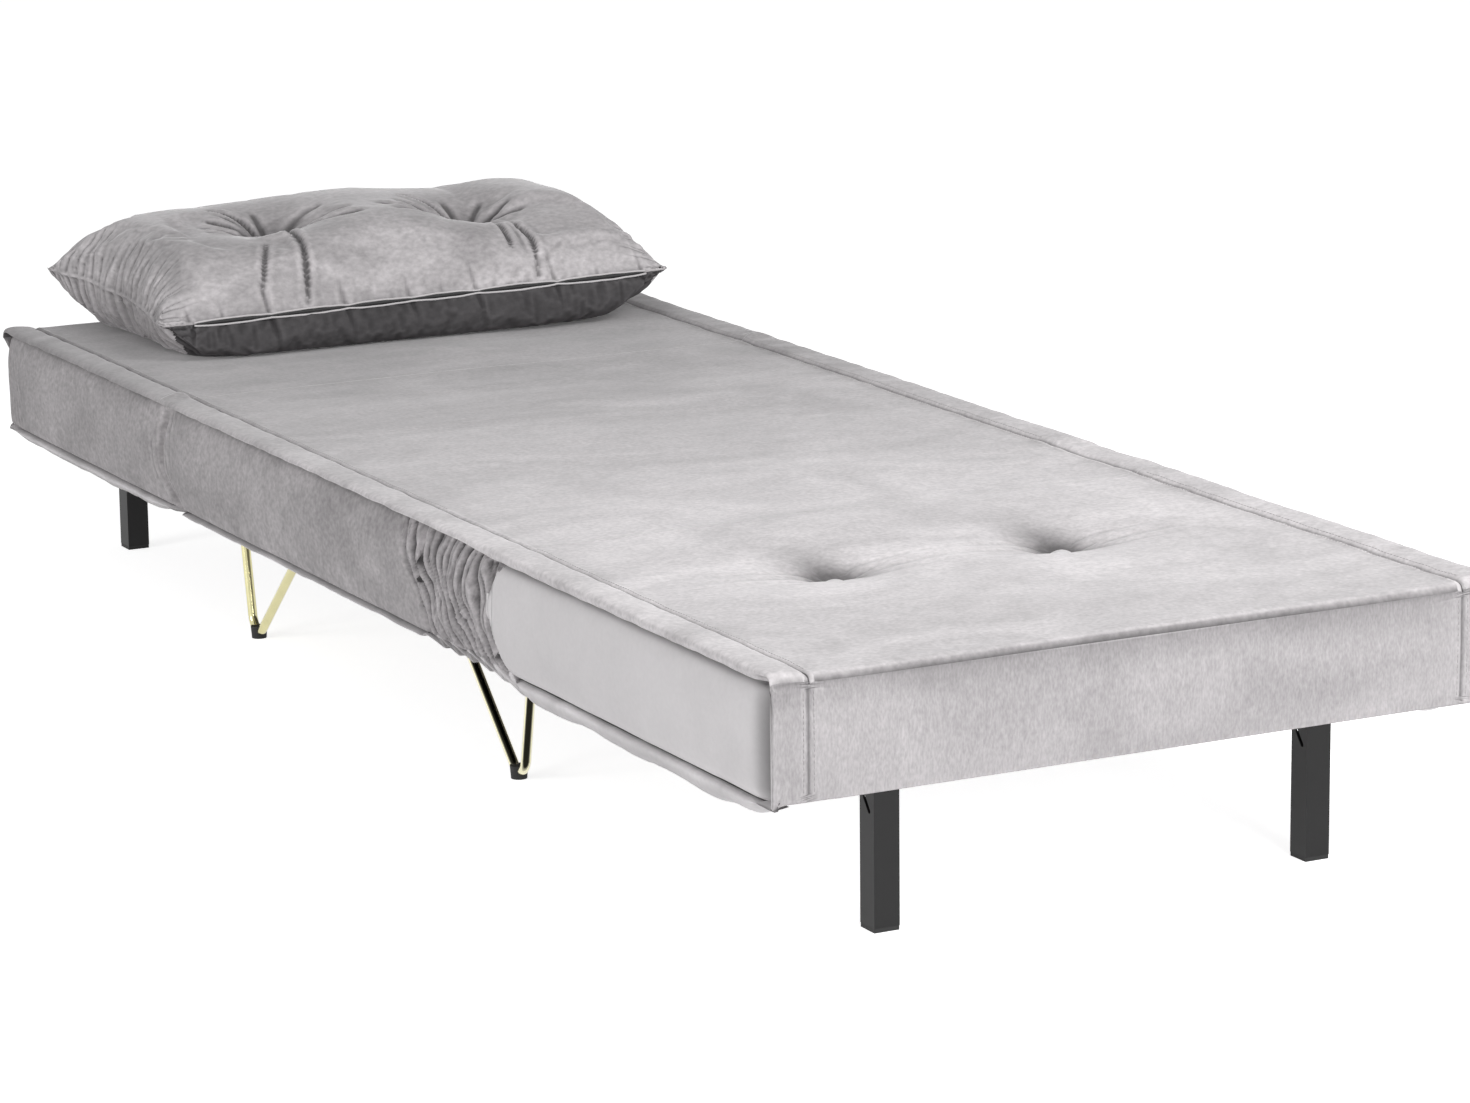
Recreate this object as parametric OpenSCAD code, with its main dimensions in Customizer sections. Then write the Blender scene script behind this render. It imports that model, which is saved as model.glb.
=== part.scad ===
// Folding sofa bed laid flat: a seat section on hairpin legs, a front section
// that flips over onto the seat, and a tufted section that rises as the back.
// X runs across the bed, +Y towards the tufted end, Z up from the floor.

/* [Bed] */
// Width across the flanged long edges
bed_w = 740; // [680:10:820]
// Length of the bed laid flat
bed_l = 1900; // [1840:10:2000]
// Height of the flat underside above the floor
under_h = 147; // [140:1:165]
// Thickness from the underside to the top of the flange
bed_t = 114; // [108:1:130]
// Length of the front section that flips over the seat
front_l = 500; // [460:5:540]
// Distance from the tufted end to the recline pivot
back_l = 640; // [600:5:680]
// Length without foam on each side of the recline pivot
fold_room = 85; // [80:1:100]

/* [Covers] */
// Thickness of the padded top of a cover
top_pad = 9; // [8:0.5:14]
// Thickness of the padded side walls
side_pad = 20; // [18:1:26]
// Thickness of the padded end wall at a free end
end_pad = 14; // [12:1:20]
// Thickness of the cloth along the underside
base_cloth = 2.5; // [2:0.5:4]
// Width of the flange strip along the long edges
flange_w = 36; // [32:1:46]
// Height of the flange above the top cloth
flange_h = 2.6; // [2:0.1:4]
// How far the slack underside hangs below the side panels
slack_drop = 22; // [10:1:26]
// Gap between the end faces of two sections
joint_gap = 1.5; // [1:0.1:3]

/* [Tufts] */
// Distance of a tuft from the middle of the bed
tuft_x = 121; // [91:5:151]
// Distance of the tufts from the tufted end
tuft_inset = 343; // [253:5:343]
// Depth of a tuft
tuft_depth = 18; // [16:1:32]
// Radius of a tuft's hollow
tuft_r = 38; // [32:1:44]
// Radius of a covered button
button_r = 11; // [8:0.5:14]

/* [Frame] */
// Width of the square frame tube
tube_w = 25; // [20:1:25]
// Wall of the square frame tube
tube_wall = 2; // [1.5:0.5:3]
// Distance of the seat rails from the long edges
seat_rail_inset = 83; // [78:1:95]
// Width of a sprung slat
slat_w = 53; // [40:1:60]
// Thickness of a sprung slat
slat_t = 8; // [6:1:10]
// Clearance between pieces that lie on each other
seat_clear = 0.3; // [0.2:0.1:0.5]

/* [Hairpin legs] */
// Radius of the hairpin wire
wire_r = 5; // [4:0.5:6]
// Radius of the bend at the foot
bend_r = 17; // [14:1:24]
// Lean of the outer wire
outer_lean = 11; // [5:1:15]
// Lean of the inner wire
inner_lean = 47; // [35:1:50]
// Distance of the front foot from the front joint
hairpin_front = 56; // [50:1:70]
// Distance of the rear foot from the recline pivot
hairpin_rear = 42; // [38:1:60]
// Thickness of the mounting plate
plate_t = 4; // [3:0.5:5]
// Width of the mounting plate
plate_w = 30; // [28:1:32]

/* [Square legs] */
// Width of the square folding legs
leg_w = 25.4; // [24:0.2:30]
// Wall of the square leg
leg_wall = 2; // [1.5:0.5:3]
// Distance of the front legs from the long edges
front_leg_side = 127; // [110:1:170]
// Distance of the front legs from the front end
front_leg_inset = 67; // [55:1:90]
// Distance of the back legs from the long edges
back_leg_side = 146; // [110:1:170]
// Distance of the back legs from the tufted end
back_leg_inset = 76; // [60:1:100]
// Distance of the leg pivot below the underside
leg_pivot_drop = 16; // [15.5:0.5:20]
// Radius of the leg pivot pin
leg_pin_r = 3.5; // [3:0.5:4.5]
// Height of the plastic foot below the tube
foot_t = 4; // [3:0.5:6]

/* [Hinges] */
// Radial running clearance of a hinge pin
run_clear = 0.05; // [0.02:0.01:0.1]
// Radius of the flip hinge pin
flip_pin_r = 2.5; // [2:0.5:3]
// Thickness of the flip hinge ears and the recline plates
ear_t = 4; // [3:0.5:4]
// Radius of the recline pin
recline_pin_r = 5; // [4:0.5:6]
// Radius of the ratchet at the root of its teeth
ratchet_root_r = 34; // [30:1:36]
// Height of a ratchet tooth
tooth_h = 6; // [4:0.5:7]
// Angle between two ratchet teeth
tooth_pitch = 15; // [15:15:15]
// Direction from the recline pivot to the pawl tip
pawl_angle = 140; // [136:1:144]
// Swing of the pawl between free and engaged
pawl_swing = 13; // [12:1:16]

/* [Pillow] */
// Length of the pillow across the bed
pillow_l = 640; // [560:10:660]
// Depth of the pillow along the bed
pillow_d = 312; // [280:2:330]
// Height of the pillow
pillow_h = 150; // [120:5:170]
// Shift of the pillow from the middle of the bed
pillow_x = -20; // [-45:1:45]
// Depth of a pillow tuft
pillow_tuft = 42; // [20:1:50]
// Height of the pillow's front seam above the bed
pillow_seam_front = 47; // [30:1:60]
// Height of the pillow's rear seam above the bed
pillow_seam_back = 70; // [40:1:80]

/* [Hidden] */
$fn = 48;

half_w = bed_w / 2;
top_z = under_h + bed_t;
front_end = -bed_l / 2;
back_end = bed_l / 2;
flip_y = front_end + front_l;
flip_z = top_z + 0.3;
recline_y = back_end - back_l;
frame_z = under_h + base_cloth + 0.5;
recline_z = frame_z + tube_w / 2;
seat_end = recline_y - fold_room;
back_start = recline_y + fold_room;
slat_z = frame_z + tube_w;
foam_z = slat_z + slat_t + seat_clear;
cloth_z = top_z - flange_h;
foam_top = cloth_z - top_pad;
cavity_w = half_w - side_pad;
seat_rail_x = half_w - seat_rail_inset;
front_leg_x = half_w - front_leg_side;
back_leg_x = half_w - back_leg_side;
foam_half = cavity_w - 8;
joint_half = joint_gap / 2;
joint_wall = 3;
crown_h = 1.6;
tuft_step = 25;
edge_round = 9;
seat_ear_x = cavity_w - ear_t;
front_ear_x = cavity_w + 0.5;
eye_r = flip_pin_r + 1.8;
ear_pocket = 60;
side_rail_x = seat_rail_x + tube_w + ear_t * 2 + 0.5;
hinge_x = seat_rail_x + tube_w / 2;
ratchet_x = hinge_x + ear_t + 0.5;
leg_pivot_z = under_h - leg_pivot_drop;
front_leg_y = front_end + front_leg_inset;
back_leg_y = back_end - back_leg_inset;
rail_overrun = 16;
tuft_y = back_end - tuft_inset;
button_z = cloth_z - tuft_depth;
slack_w = flange_w * 1.535;
pawl_y = recline_y - 61.4;
pawl_z = recline_z + 8.6;
pillow_y = front_end + pillow_d / 2;
pillow_z = cloth_z + crown_h + seat_clear;
pillow_tuft_x = pillow_l * 0.205;
pillow_crest = -0.2;

screw_r = 2.5;
rise_top = under_h - plate_t;
bend_z = wire_r + 2.5 + bend_r;
wire_l = under_h / cos(inner_lean);
outer_run = wire_run(outer_lean);
inner_run = wire_run(inner_lean);
plate_out = outer_run + 16;
plate_in = inner_run + 24;
front_foot_y = flip_y + hairpin_front;
rear_foot_y = recline_y - hairpin_rear;
spring_y = seat_end + 15;
spring_z = slat_z + 14;

velvet = [0.66, 0.64, 0.66];
velvet_pale = [0.78, 0.77, 0.78];
velvet_dark = [0.5, 0.48, 0.5];
steel_black = [0.08, 0.08, 0.08];
steel_grey = [0.45, 0.46, 0.48];
gold = [0.83, 0.76, 0.52];
timber = [0.78, 0.64, 0.44];
foam_colour = [0.93, 0.88, 0.7];

// Solid through rings of equal size, closed by a fan at each end
module skin(rings, first_mid, last_mid) {
  n = len(rings[0]);
  m = len(rings);
  points = [for (r = rings) for (p = r) p, first_mid, last_mid];
  sides = [for (k = [0:m - 2]) for (i = [0:n - 1]) for (f = [0:1])
    let (j = (i + 1) % n, a = k * n + i, b = k * n + j, c = a + n, d = b + n)
    f == 0 ? [a, b, d] : [a, d, c]];
  start_fan = [for (i = [0:n - 1]) [m * n, (i + 1) % n, i]];
  end_fan = [for (i = [0:n - 1]) [m * n + 1, (m - 1) * n + i, (m - 1) * n + (i + 1) % n]];
  polyhedron(points = points, faces = concat(sides, start_fan, end_fan));
}

function smooth(t) = let (c = min(1, max(0, t))) c * c * (3 - 2 * c);
function bell(r, width) = exp(-pow(r / width, 2));
function tuft_drop(x, y) =
  let (r = norm([abs(x) - tuft_x, y - tuft_y]))
  tuft_depth * (bell(r, tuft_r) + 0.3 * bell(r, tuft_r * 2.9));

// Half outline of a cover from the middle of the underside to the middle of the top
function half_outline(sag, bulge) = concat(
  [
    [0, under_h],
    [half_w - slack_w, under_h],
    [half_w - slack_w * 0.92, under_h - sag * 0.4],
    [half_w - slack_w * 0.71, under_h - sag * 0.85],
    [half_w - slack_w * 0.42, under_h - sag],
    [half_w - slack_w * 0.15, under_h - sag * 0.7],
    [half_w - 4, under_h - sag * 0.2],
    [half_w - 6, under_h + 4],
    [half_w - 4 + bulge, under_h + bed_t * 0.2],
    [half_w - 3 + bulge, under_h + bed_t * 0.45],
    [half_w - 4 + bulge * 0.7, under_h + bed_t * 0.7],
    [half_w - 6, top_z - 13],
    [half_w - 6.5, top_z - 9.5],
    [half_w - 1, top_z - 7.5],
    [half_w, top_z - 3.5],
    [half_w - 3, top_z],
    [half_w - flange_w, top_z - 0.4],
    [half_w - flange_w - 14, cloth_z]
  ],
  let (far = half_w - flange_w * 1.86, near = tuft_x + 2 * tuft_step)
    [for (x = [
      far, near + (far - near) * 0.65, near + (far - near) * 0.3, near, tuft_x + tuft_step, tuft_x,
      tuft_x - tuft_step, tuft_x - 2.2 * tuft_step, tuft_x * 0.26
    ]) [x, cloth_z + crown_h * (1 - x / half_w)]]
);

// Full ring at one station, drop lowers the top and inset narrows it at a free end
function cover_ring(y, sag, bulge, drop, inset, tufted) =
  let (
    h = half_outline(sag, bulge),
    n = len(h),
    right = [for (p = h) p],
    left = [for (i = [n - 1:-1:1]) [-h[i][0], h[i][1]]],
    crown = [[0, cloth_z + crown_h]]
  )
  [for (p = concat(right, crown, left))
    let (
      rise = max(0, (p[1] - under_h) / bed_t),
      dip = tufted && p[1] > top_z - 7 && abs(p[0]) < half_w - 60 ? tuft_drop(p[0], y) : 0
    )
    [p[0] * (1 - inset / half_w), y, p[1] - drop * pow(rise, 3) - dip]];

// Cover body between two stations, free_end is -1 or 1 where the end is rounded
module cover_body(y0, y1, free_end, ys, tufted) {
  rings = [for (y = concat([y0], ys, [y1]))
    let (
      reach = min(y - y0, y1 - y),
      to_free = free_end < 0 ? y - y0 : y1 - y,
      drop = to_free < edge_round ? edge_round * pow(1 - to_free / edge_round, 2) * 0.8 : 0,
      inset = to_free < edge_round ? 5 * pow(1 - to_free / edge_round, 2) : 0
    )
    cover_ring(y, slack_drop * smooth(reach / 50), 3 * smooth(reach / 60), drop, inset, tufted)];
  skin(rings, [0, y0, under_h + bed_t / 2], [0, y1, under_h + bed_t / 2]);
}

// Box from its low and high corners
module block(low, high) {
  translate(low) cube([high[0] - low[0], high[1] - low[1], high[2] - low[2]]);
}

// Round bar along X
module bar_x(x0, x1, y, z, r) {
  translate([x0, y, z]) rotate([0, 90, 0]) cylinder(h = x1 - x0, r = r);
}

// Flat shape drawn in Y and Z, from x0 and thick along X
module yz_sheet(x0, thick) {
  translate([x0, 0, 0]) rotate([90, 0, 90]) linear_extrude(height = thick) children();
}

// Square tube along X
module tube_along_x(x0, x1, y) {
  difference() {
    block([x0, y - tube_w / 2, frame_z], [x1, y + tube_w / 2, frame_z + tube_w]);
    block([x0 + tube_wall, y - tube_w / 2 + tube_wall, frame_z + tube_wall],
      [x1 - tube_wall, y + tube_w / 2 - tube_wall, frame_z + tube_w - tube_wall]);
  }
}

// Square tube along Y
module tube_along_y(x, y0, y1) {
  difference() {
    block([x - tube_w / 2, y0, frame_z], [x + tube_w / 2, y1, frame_z + tube_w]);
    block([x - tube_w / 2 + tube_wall, y0 + tube_wall, frame_z + tube_wall],
      [x + tube_w / 2 - tube_wall, y1 - tube_wall, frame_z + tube_w - tube_wall]);
  }
}

// Row of sprung slats between two stations
module slat_row(y0, y1, count) {
  pitch = (y1 - y0) / count;
  color(timber)
  for (i = [0:count - 1])
    translate([0, y0 + pitch * (i + 0.5), slat_z])
      block([-foam_half + 2, -slat_w / 2, 0], [foam_half - 2, slat_w / 2, slat_t]);
}

// Ear of the flip hinge, rising from the end of a cross tube to the pivot
module flip_ear(x0, dir) {
  yz_sheet(x0, ear_t) difference() {
    union() {
      polygon([
        [flip_y + dir * 8, frame_z],
        [flip_y + dir * (8 + tube_w), frame_z],
        [flip_y + dir * (8 + tube_w), frame_z + tube_w],
        [flip_y + dir * eye_r * 1.8, top_z - 17],
        [flip_y + dir * eye_r, flip_z],
        [flip_y - dir * eye_r * 0.2, flip_z - eye_r * 0.9],
        [flip_y + dir * joint_gap, flip_z - eye_r - 4]
      ]);
      translate([flip_y, flip_z]) circle(r = eye_r);
    }
    translate([flip_y, flip_z]) circle(r = flip_pin_r + run_clear);
  }
}

// Room for the ears of the flip hinge inside a cover, dir points into the section
module ear_room(dir) {
  for (side = [-1, 1]) {
    x0 = side > 0 ? cavity_w - 12 : -front_ear_x - ear_t - 4;
    x1 = side > 0 ? front_ear_x + ear_t + 4 : -cavity_w + 12;
    y0 = dir > 0 ? flip_y - 10 : flip_y - ear_pocket;
    y1 = dir > 0 ? flip_y + ear_pocket : flip_y + 10;
    block([x0, y0, under_h + base_cloth], [x1, y1, top_z - 16]);
    bar_x(x0, x1, flip_y, flip_z, eye_r + 1.5);
    block([x0, flip_y - eye_r * 2, top_z - 17], [x1, flip_y + eye_r * 2, top_z + 2]);
  }
}

// Hole in the underside for a leg lug
module lug_hole(x, y) {
  block([x - 5, y - 12, under_h - 1], [x + 5, y + 12, frame_z + 1]);
}

// Seat section
module seat_frame() {
  color(steel_black) {
    difference() {
      union() {
        for (side = [-1, 1])
          tube_along_y(side * seat_rail_x, flip_y + 8 + tube_w, recline_y + rail_overrun);
        tube_along_x(-seat_ear_x - 1, seat_ear_x + 1, flip_y + 8 + tube_w / 2);
        tube_along_x(-seat_rail_x, seat_rail_x, (flip_y + seat_end) / 2);
        tube_along_x(-foam_half + 4, foam_half - 4, seat_end - 5 - tube_w / 2);
        for (x = [seat_ear_x, -seat_ear_x - ear_t])
          flip_ear(x, 1);
      }
      screw_pattern() cylinder(h = 30, r = screw_r + 0.1, center = true);
      bar_x(-half_w, half_w, recline_y, recline_z, recline_pin_r + run_clear);
    }
  }
}

module seat_slats() {
  slat_row(flip_y + 10, seat_end - 5, 7);
}

module seat_foam() {
  color(foam_colour)
  block([-foam_half, flip_y + joint_half + joint_wall + seat_clear, foam_z],
    [foam_half, seat_end - joint_wall - seat_clear, foam_top - seat_clear]);
}

module seat_cover() {
  y0 = flip_y + joint_half;
  color(velvet)
  difference() {
    cover_body(y0, seat_end, 0, [for (t = [0.03, 0.08, 0.2, 0.35, 0.5, 0.65, 0.8, 0.92, 0.97])
      y0 + t * (seat_end - y0)], false);
    block([-cavity_w, y0 + joint_wall, under_h + base_cloth], [cavity_w, seat_end - joint_wall, foam_top]);
    ear_room(1);
    for (side = [-1, 1])
      block([side * seat_rail_x - tube_w / 2 - 1, seat_end - 10, frame_z - 0.5],
        [side * seat_rail_x + tube_w / 2 + 1, seat_end + 10, slat_z + 1]);
    screw_pattern() cylinder(h = 30, r = screw_r + 0.1, center = true);
  }
}

// How far a wire with this lean runs out from the foot at the plate
function wire_run(lean) = bend_r * cos(lean) + (rise_top - bend_z + bend_r * sin(lean)) * tan(lean);

// Wire of one hairpin about its foot, the inner wire leans towards +Y
module hairpin_wire(r) {
  rotate([90, 0, 90])
  translate([0, bend_z, 0]) {
    rotate([0, 0, 180 + outer_lean])
      rotate_extrude(angle = 180 - outer_lean - inner_lean) translate([bend_r, 0]) circle(r = r - 0.05);
    rotate([0, 0, 180 + outer_lean])
      translate([bend_r, 0.5, 0]) rotate([90, 0, 0]) cylinder(h = wire_l, r = r);
    rotate([0, 0, -inner_lean])
      translate([bend_r, -0.5, 0]) rotate([-90, 0, 0]) cylinder(h = wire_l, r = r);
  }
}

// Holes of one plate about the foot
function plate_holes() = [for (x = [-1, 1]) for (y = [8 - plate_out, plate_in - 8]) [x * plate_w * 0.27, y]];

module hairpin() {
  color(gold) {
    intersection() {
      hairpin_wire(wire_r);
      block([-plate_w, -plate_out, 0], [plate_w, plate_in, under_h - plate_t / 2]);
    }
    difference() {
      block([-plate_w / 2, -plate_out, rise_top], [plate_w / 2, plate_in, under_h]);
      for (p = plate_holes())
        translate([p[0], p[1], under_h]) cylinder(h = 20, r = screw_r + 0.1, center = true);
    }
  }
}

// Places a shape at one hairpin, turned about where rear is true
module at_hairpin(side, rear) {
  translate([side * seat_rail_x, rear ? rear_foot_y : front_foot_y, 0])
    rotate([0, 0, rear ? 180 : 0]) children();
}

module hairpin_front_left() {
  at_hairpin(1, false) hairpin();
}

module hairpin_front_right() {
  at_hairpin(-1, false) hairpin();
}

module hairpin_rear_left() {
  at_hairpin(1, true) hairpin();
}

module hairpin_rear_right() {
  at_hairpin(-1, true) hairpin();
}

module hairpin_feet() {
  color(steel_black)
  for (side = [-1, 1]) for (rear = [false, true])
    at_hairpin(side, rear)
      difference() {
        cylinder(h = wire_r * 2.6, r1 = wire_r * 1.6, r2 = wire_r * 1.8);
        hairpin_wire(wire_r);
      }
}

// Puts a shape on every plate screw, at the underside
module screw_pattern() {
  for (side = [-1, 1]) for (rear = [false, true])
    at_hairpin(side, rear)
      for (p = plate_holes())
        translate([p[0], p[1], under_h]) children();
}

module hairpin_screws() {
  color(steel_grey)
  screw_pattern() {
    translate([0, 0, -plate_t]) cylinder(h = plate_t + base_cloth + 4, r = screw_r);
    translate([0, 0, -plate_t - 2]) cylinder(h = 2, r = screw_r + 2);
  }
}

// Recline hinge
module recline_outline() {
  translate([recline_y, recline_z]) circle(r = 14);
  translate([seat_end + 8, frame_z]) square([fold_room - 8, tube_w]);
  translate([pawl_y, pawl_z]) circle(r = 9);
  translate([spring_y, spring_z]) circle(r = 6);
  translate([spring_y - 6, frame_z]) square([12, spring_z - frame_z]);
}

module recline_plate(side) {
  x0 = side > 0 ? hinge_x : -hinge_x - ear_t;
  stud = side > 0 ? [hinge_x + ear_t - 1, ratchet_x + ear_t + 2] : [-ratchet_x - ear_t - 2, -hinge_x - ear_t + 1];
  color(steel_grey) {
    yz_sheet(x0, ear_t) difference() {
      recline_outline();
      translate([recline_y, recline_z]) circle(r = recline_pin_r + run_clear);
    }
    bar_x(stud[0], stud[1], pawl_y, pawl_z, 4);
    bar_x(stud[0], stud[1], spring_y, spring_z, 2.5);
  }
}

module recline_plate_left() {
  recline_plate(1);
}

module recline_plate_right() {
  recline_plate(-1);
}

// Pivot bolts through the seat rail, the plate, the ratchet and the back rail
module recline_bolts() {
  x0 = seat_rail_x - tube_w / 2 - 0.3;
  x1 = side_rail_x + tube_w / 2 + 0.3;
  color(steel_grey)
  for (side = [-1, 1])
    mirror([side > 0 ? 0 : 1, 0, 0]) {
      bar_x(x0 - 1, x1 + 1, recline_y, recline_z, recline_pin_r);
      bar_x(x0 - 3, x0, recline_y, recline_z, recline_pin_r + 3);
      bar_x(x1, x1 + 3, recline_y, recline_z, recline_pin_r + 3);
    }
}

// Place at an angle and a height over the ratchet root, seen from the pawl stud
function over_root(turn, rise) = [
  recline_y - pawl_y + (ratchet_root_r + rise) * cos(pawl_angle + turn),
  recline_z - pawl_z + (ratchet_root_r + rise) * sin(pawl_angle + turn)
];

// Hooked pawl drawn engaged, its finger stands in the gap between two teeth
module pawl_outline() {
  difference() {
    union() {
      circle(r = 8.5);
      polygon([
        [0, -8],
        over_root(4, tooth_h + 2),
        over_root(2.2, tooth_h),
        over_root(-0.1, 0.7),
        over_root(-4, 4),
        over_root(-5, tooth_h + 3),
        over_root(-2, tooth_h + 6),
        [0, 8]
      ]);
    }
    circle(r = 4 + run_clear);
  }
}

module pawl(side) {
  color(steel_grey)
  yz_sheet(side > 0 ? ratchet_x : -ratchet_x - ear_t, ear_t)
    translate([pawl_y, pawl_z]) rotate(pawl_swing) pawl_outline();
}

module pawl_left() {
  pawl(1);
}

module pawl_right() {
  pawl(-1);
}

// Leaf spring that presses a pawl towards its ratchet
module pawl_spring(side) {
  color(steel_grey)
  yz_sheet(side > 0 ? ratchet_x + 0.5 : -ratchet_x - ear_t + 0.5, ear_t - 1)
    difference() {
      union() {
        translate([spring_y, spring_z]) circle(r = 3.6);
        polygon([
          [spring_y, spring_z + 3.6],
          [spring_y, spring_z + 2.6],
          [pawl_y + 19, pawl_z + 26.5],
          [pawl_y + 19, pawl_z + 27.5]
        ]);
      }
      translate([spring_y, spring_z]) circle(r = 2.5 + run_clear);
    }
}

module pawl_spring_left() {
  pawl_spring(1);
}

module pawl_spring_right() {
  pawl_spring(-1);
}

// Ratchet with its teeth over the travel of the back
module ratchet_outline() {
  teeth = 5;
  steps = [for (k = [-teeth:0]) pawl_angle + k * tooth_pitch];
  rim = [for (a = steps) for (f = [0:1])
    f == 0 ? ratchet_root_r * [cos(a), sin(a)] : (ratchet_root_r + tooth_h) * [cos(a + 3), sin(a + 3)]];
  difference() {
    union() {
      circle(r = 15);
      polygon(concat([[0, -15]], [for (p = rim) p], [[0, 0]]));
      polygon([[0, -tube_w / 2], [fold_room + 16, -tube_w / 2], [fold_room + 16, tube_w / 2], [0, tube_w / 2]]);
      rotate(pawl_angle - teeth * tooth_pitch) square([ratchet_root_r, 4]);
    }
    circle(r = recline_pin_r + run_clear);
  }
}

module ratchet(side) {
  color(steel_grey)
  yz_sheet(side > 0 ? ratchet_x : -ratchet_x - ear_t, ear_t)
    translate([recline_y, recline_z]) ratchet_outline();
}

module ratchet_left() {
  ratchet(1);
}

module ratchet_right() {
  ratchet(-1);
}

// Gathered cloth that closes the sides over the recline hinge
module gusset(side) {
  folds = 11;
  y0 = seat_end + seat_clear;
  y1 = back_start - seat_clear;
  levels = [[-20, -9], [-14, -3], [0, -6], [30, -1], [62, 0], [92, -4], [103, -7]];
  rings = [for (i = [0:2 * folds])
    let (
      t = i / (2 * folds),
      y = y0 + t * (y1 - y0),
      wave = (i % 2 == 0 ? 0 : -4.5) * smooth(min(t, 1 - t) * 8)
    )
    concat(
      [for (l = levels) [side * (half_w + l[1] + wave), y, under_h + l[0] * bed_t / 114]],
      [for (j = [len(levels) - 1:-1:0]) let (l = levels[j])
        [side * (half_w + l[1] + wave - 3), y, under_h + l[0] * bed_t / 114]]
    )];
  ordered = side > 0 ? rings : [for (r = rings) [for (j = [len(r) - 1:-1:0]) r[j]]];
  color(velvet_dark)
  strip(ordered);
}

// Thin strip through rings, each end closed by a ladder of triangles
module strip(rings) {
  n = len(rings[0]);
  m = len(rings);
  points = [for (r = rings) for (p = r) p];
  sides = [for (k = [0:m - 2]) for (i = [0:n - 1]) for (f = [0:1])
    let (j = (i + 1) % n, a = k * n + i, b = k * n + j, c = a + n, d = b + n)
    f == 0 ? [a, b, d] : [a, d, c]];
  ladder = [for (i = [0:n / 2 - 2]) for (f = [0:1])
    let (a = i, b = i + 1, c = n - 1 - i, d = n - 2 - i)
    f == 0 ? [a, d, b] : [a, c, d]];
  far = (m - 1) * n;
  far_ladder = [for (t = ladder) [t[0] + far, t[2] + far, t[1] + far]];
  polyhedron(points = points, faces = concat(sides, ladder, far_ladder));
}

module gusset_left() {
  gusset(1);
}

module gusset_right() {
  gusset(-1);
}

module gusset_top() {
  y0 = seat_end + seat_clear;
  y1 = back_start - seat_clear;
  xs = [for (i = [-8:8]) i / 8 * (half_w - 0.5)];
  rows = 6;
  rings = [for (k = [0:rows])
    let (y = y0 + k / rows * (y1 - y0))
    concat(
      [for (i = [len(xs) - 1:-1:0]) [xs[i], y, cloth_z + 1 + (abs(xs[i]) > half_w - 60 ? 1 : 0)]],
      [for (x = xs) [x, y, cloth_z - 4]]
    )];
  color(velvet)
  strip(rings);
}

module flip_pins() {
  x0 = seat_ear_x - 3;
  x1 = front_ear_x + ear_t + 0.3;
  color(steel_grey)
  for (side = [-1, 1])
    mirror([side > 0 ? 0 : 1, 0, 0]) {
      bar_x(x0, x1 + 1, flip_y, flip_z, flip_pin_r);
      bar_x(x0, x0 + 2.7, flip_y, flip_z, flip_pin_r + 1.5);
      bar_x(x1, x1 + 2.5, flip_y, flip_z, flip_pin_r + 1.5);
    }
}

// Back section
module back_frame() {
  color(steel_black)
  difference() {
    union() {
      for (side = [-1, 1])
        tube_along_y(side * side_rail_x, recline_y - 11, back_end - end_pad - 3);
      tube_along_x(-side_rail_x, side_rail_x, back_start + 20 + tube_w / 2);
      tube_along_x(-side_rail_x, side_rail_x, back_leg_y);
      tube_along_x(-side_rail_x, side_rail_x, (back_start + back_leg_y) / 2);
    }
    bar_x(-half_w, half_w, recline_y, recline_z, recline_pin_r + run_clear);
  }
}

module back_slats() {
  slat_row(back_start + 12, back_end - end_pad - 8, 6);
}

// Cones of cover cloth that follow the tufts down into the foam
module tuft_cones(clear) {
  for (side = [-1, 1])
    translate([side * tuft_x, tuft_y, button_z - 12])
      cylinder(h = foam_top - button_z + 12, r1 = tuft_r * 0.42 + clear, r2 = tuft_r * 1.84 + clear);
}

module back_foam() {
  color(foam_colour)
  difference() {
    block([-foam_half, back_start + joint_wall + seat_clear, foam_z],
      [foam_half, back_end - end_pad - seat_clear, foam_top - seat_clear]);
    tuft_cones(seat_clear);
    for (side = [-1, 1])
      translate([side * tuft_x, tuft_y, slat_z]) cylinder(h = bed_t, r = 2.5);
  }
}

module back_cover() {
  y1 = back_end;
  color(velvet_pale)
  difference() {
    cover_body(back_start, y1, 1, concat(
      [back_start + 14, back_start + 50, (back_start + 50 + tuft_y - 0.39 * tuft_inset) / 2],
      [for (t = [-0.39, -0.25, -0.15, -0.075, 0, 0.075, 0.15, 0.25, 0.39]) tuft_y + t * tuft_inset],
      [y1 - tuft_inset * 0.4, y1 - tuft_inset * 0.2, y1 - edge_round, y1 - edge_round * 0.43]
    ), true);
    difference() {
      block([-cavity_w, back_start + joint_wall, under_h + base_cloth], [cavity_w, y1 - end_pad, foam_top]);
      tuft_cones(0);
    }
    for (side = [-1, 1])
      block([side > 0 ? ratchet_x - 1 : -side_rail_x - tube_w / 2 - 1, back_start - 1, frame_z - 0.5],
        [side > 0 ? side_rail_x + tube_w / 2 + 1 : -ratchet_x + 1, back_start + 10, slat_z + 1]);
    for (side = [-1, 1]) {
      lug_hole(side * back_leg_x, back_leg_y);
      translate([side * tuft_x, tuft_y, slat_z]) cylinder(h = button_z - slat_z, r = 2.5);
    }
  }
}

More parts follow.
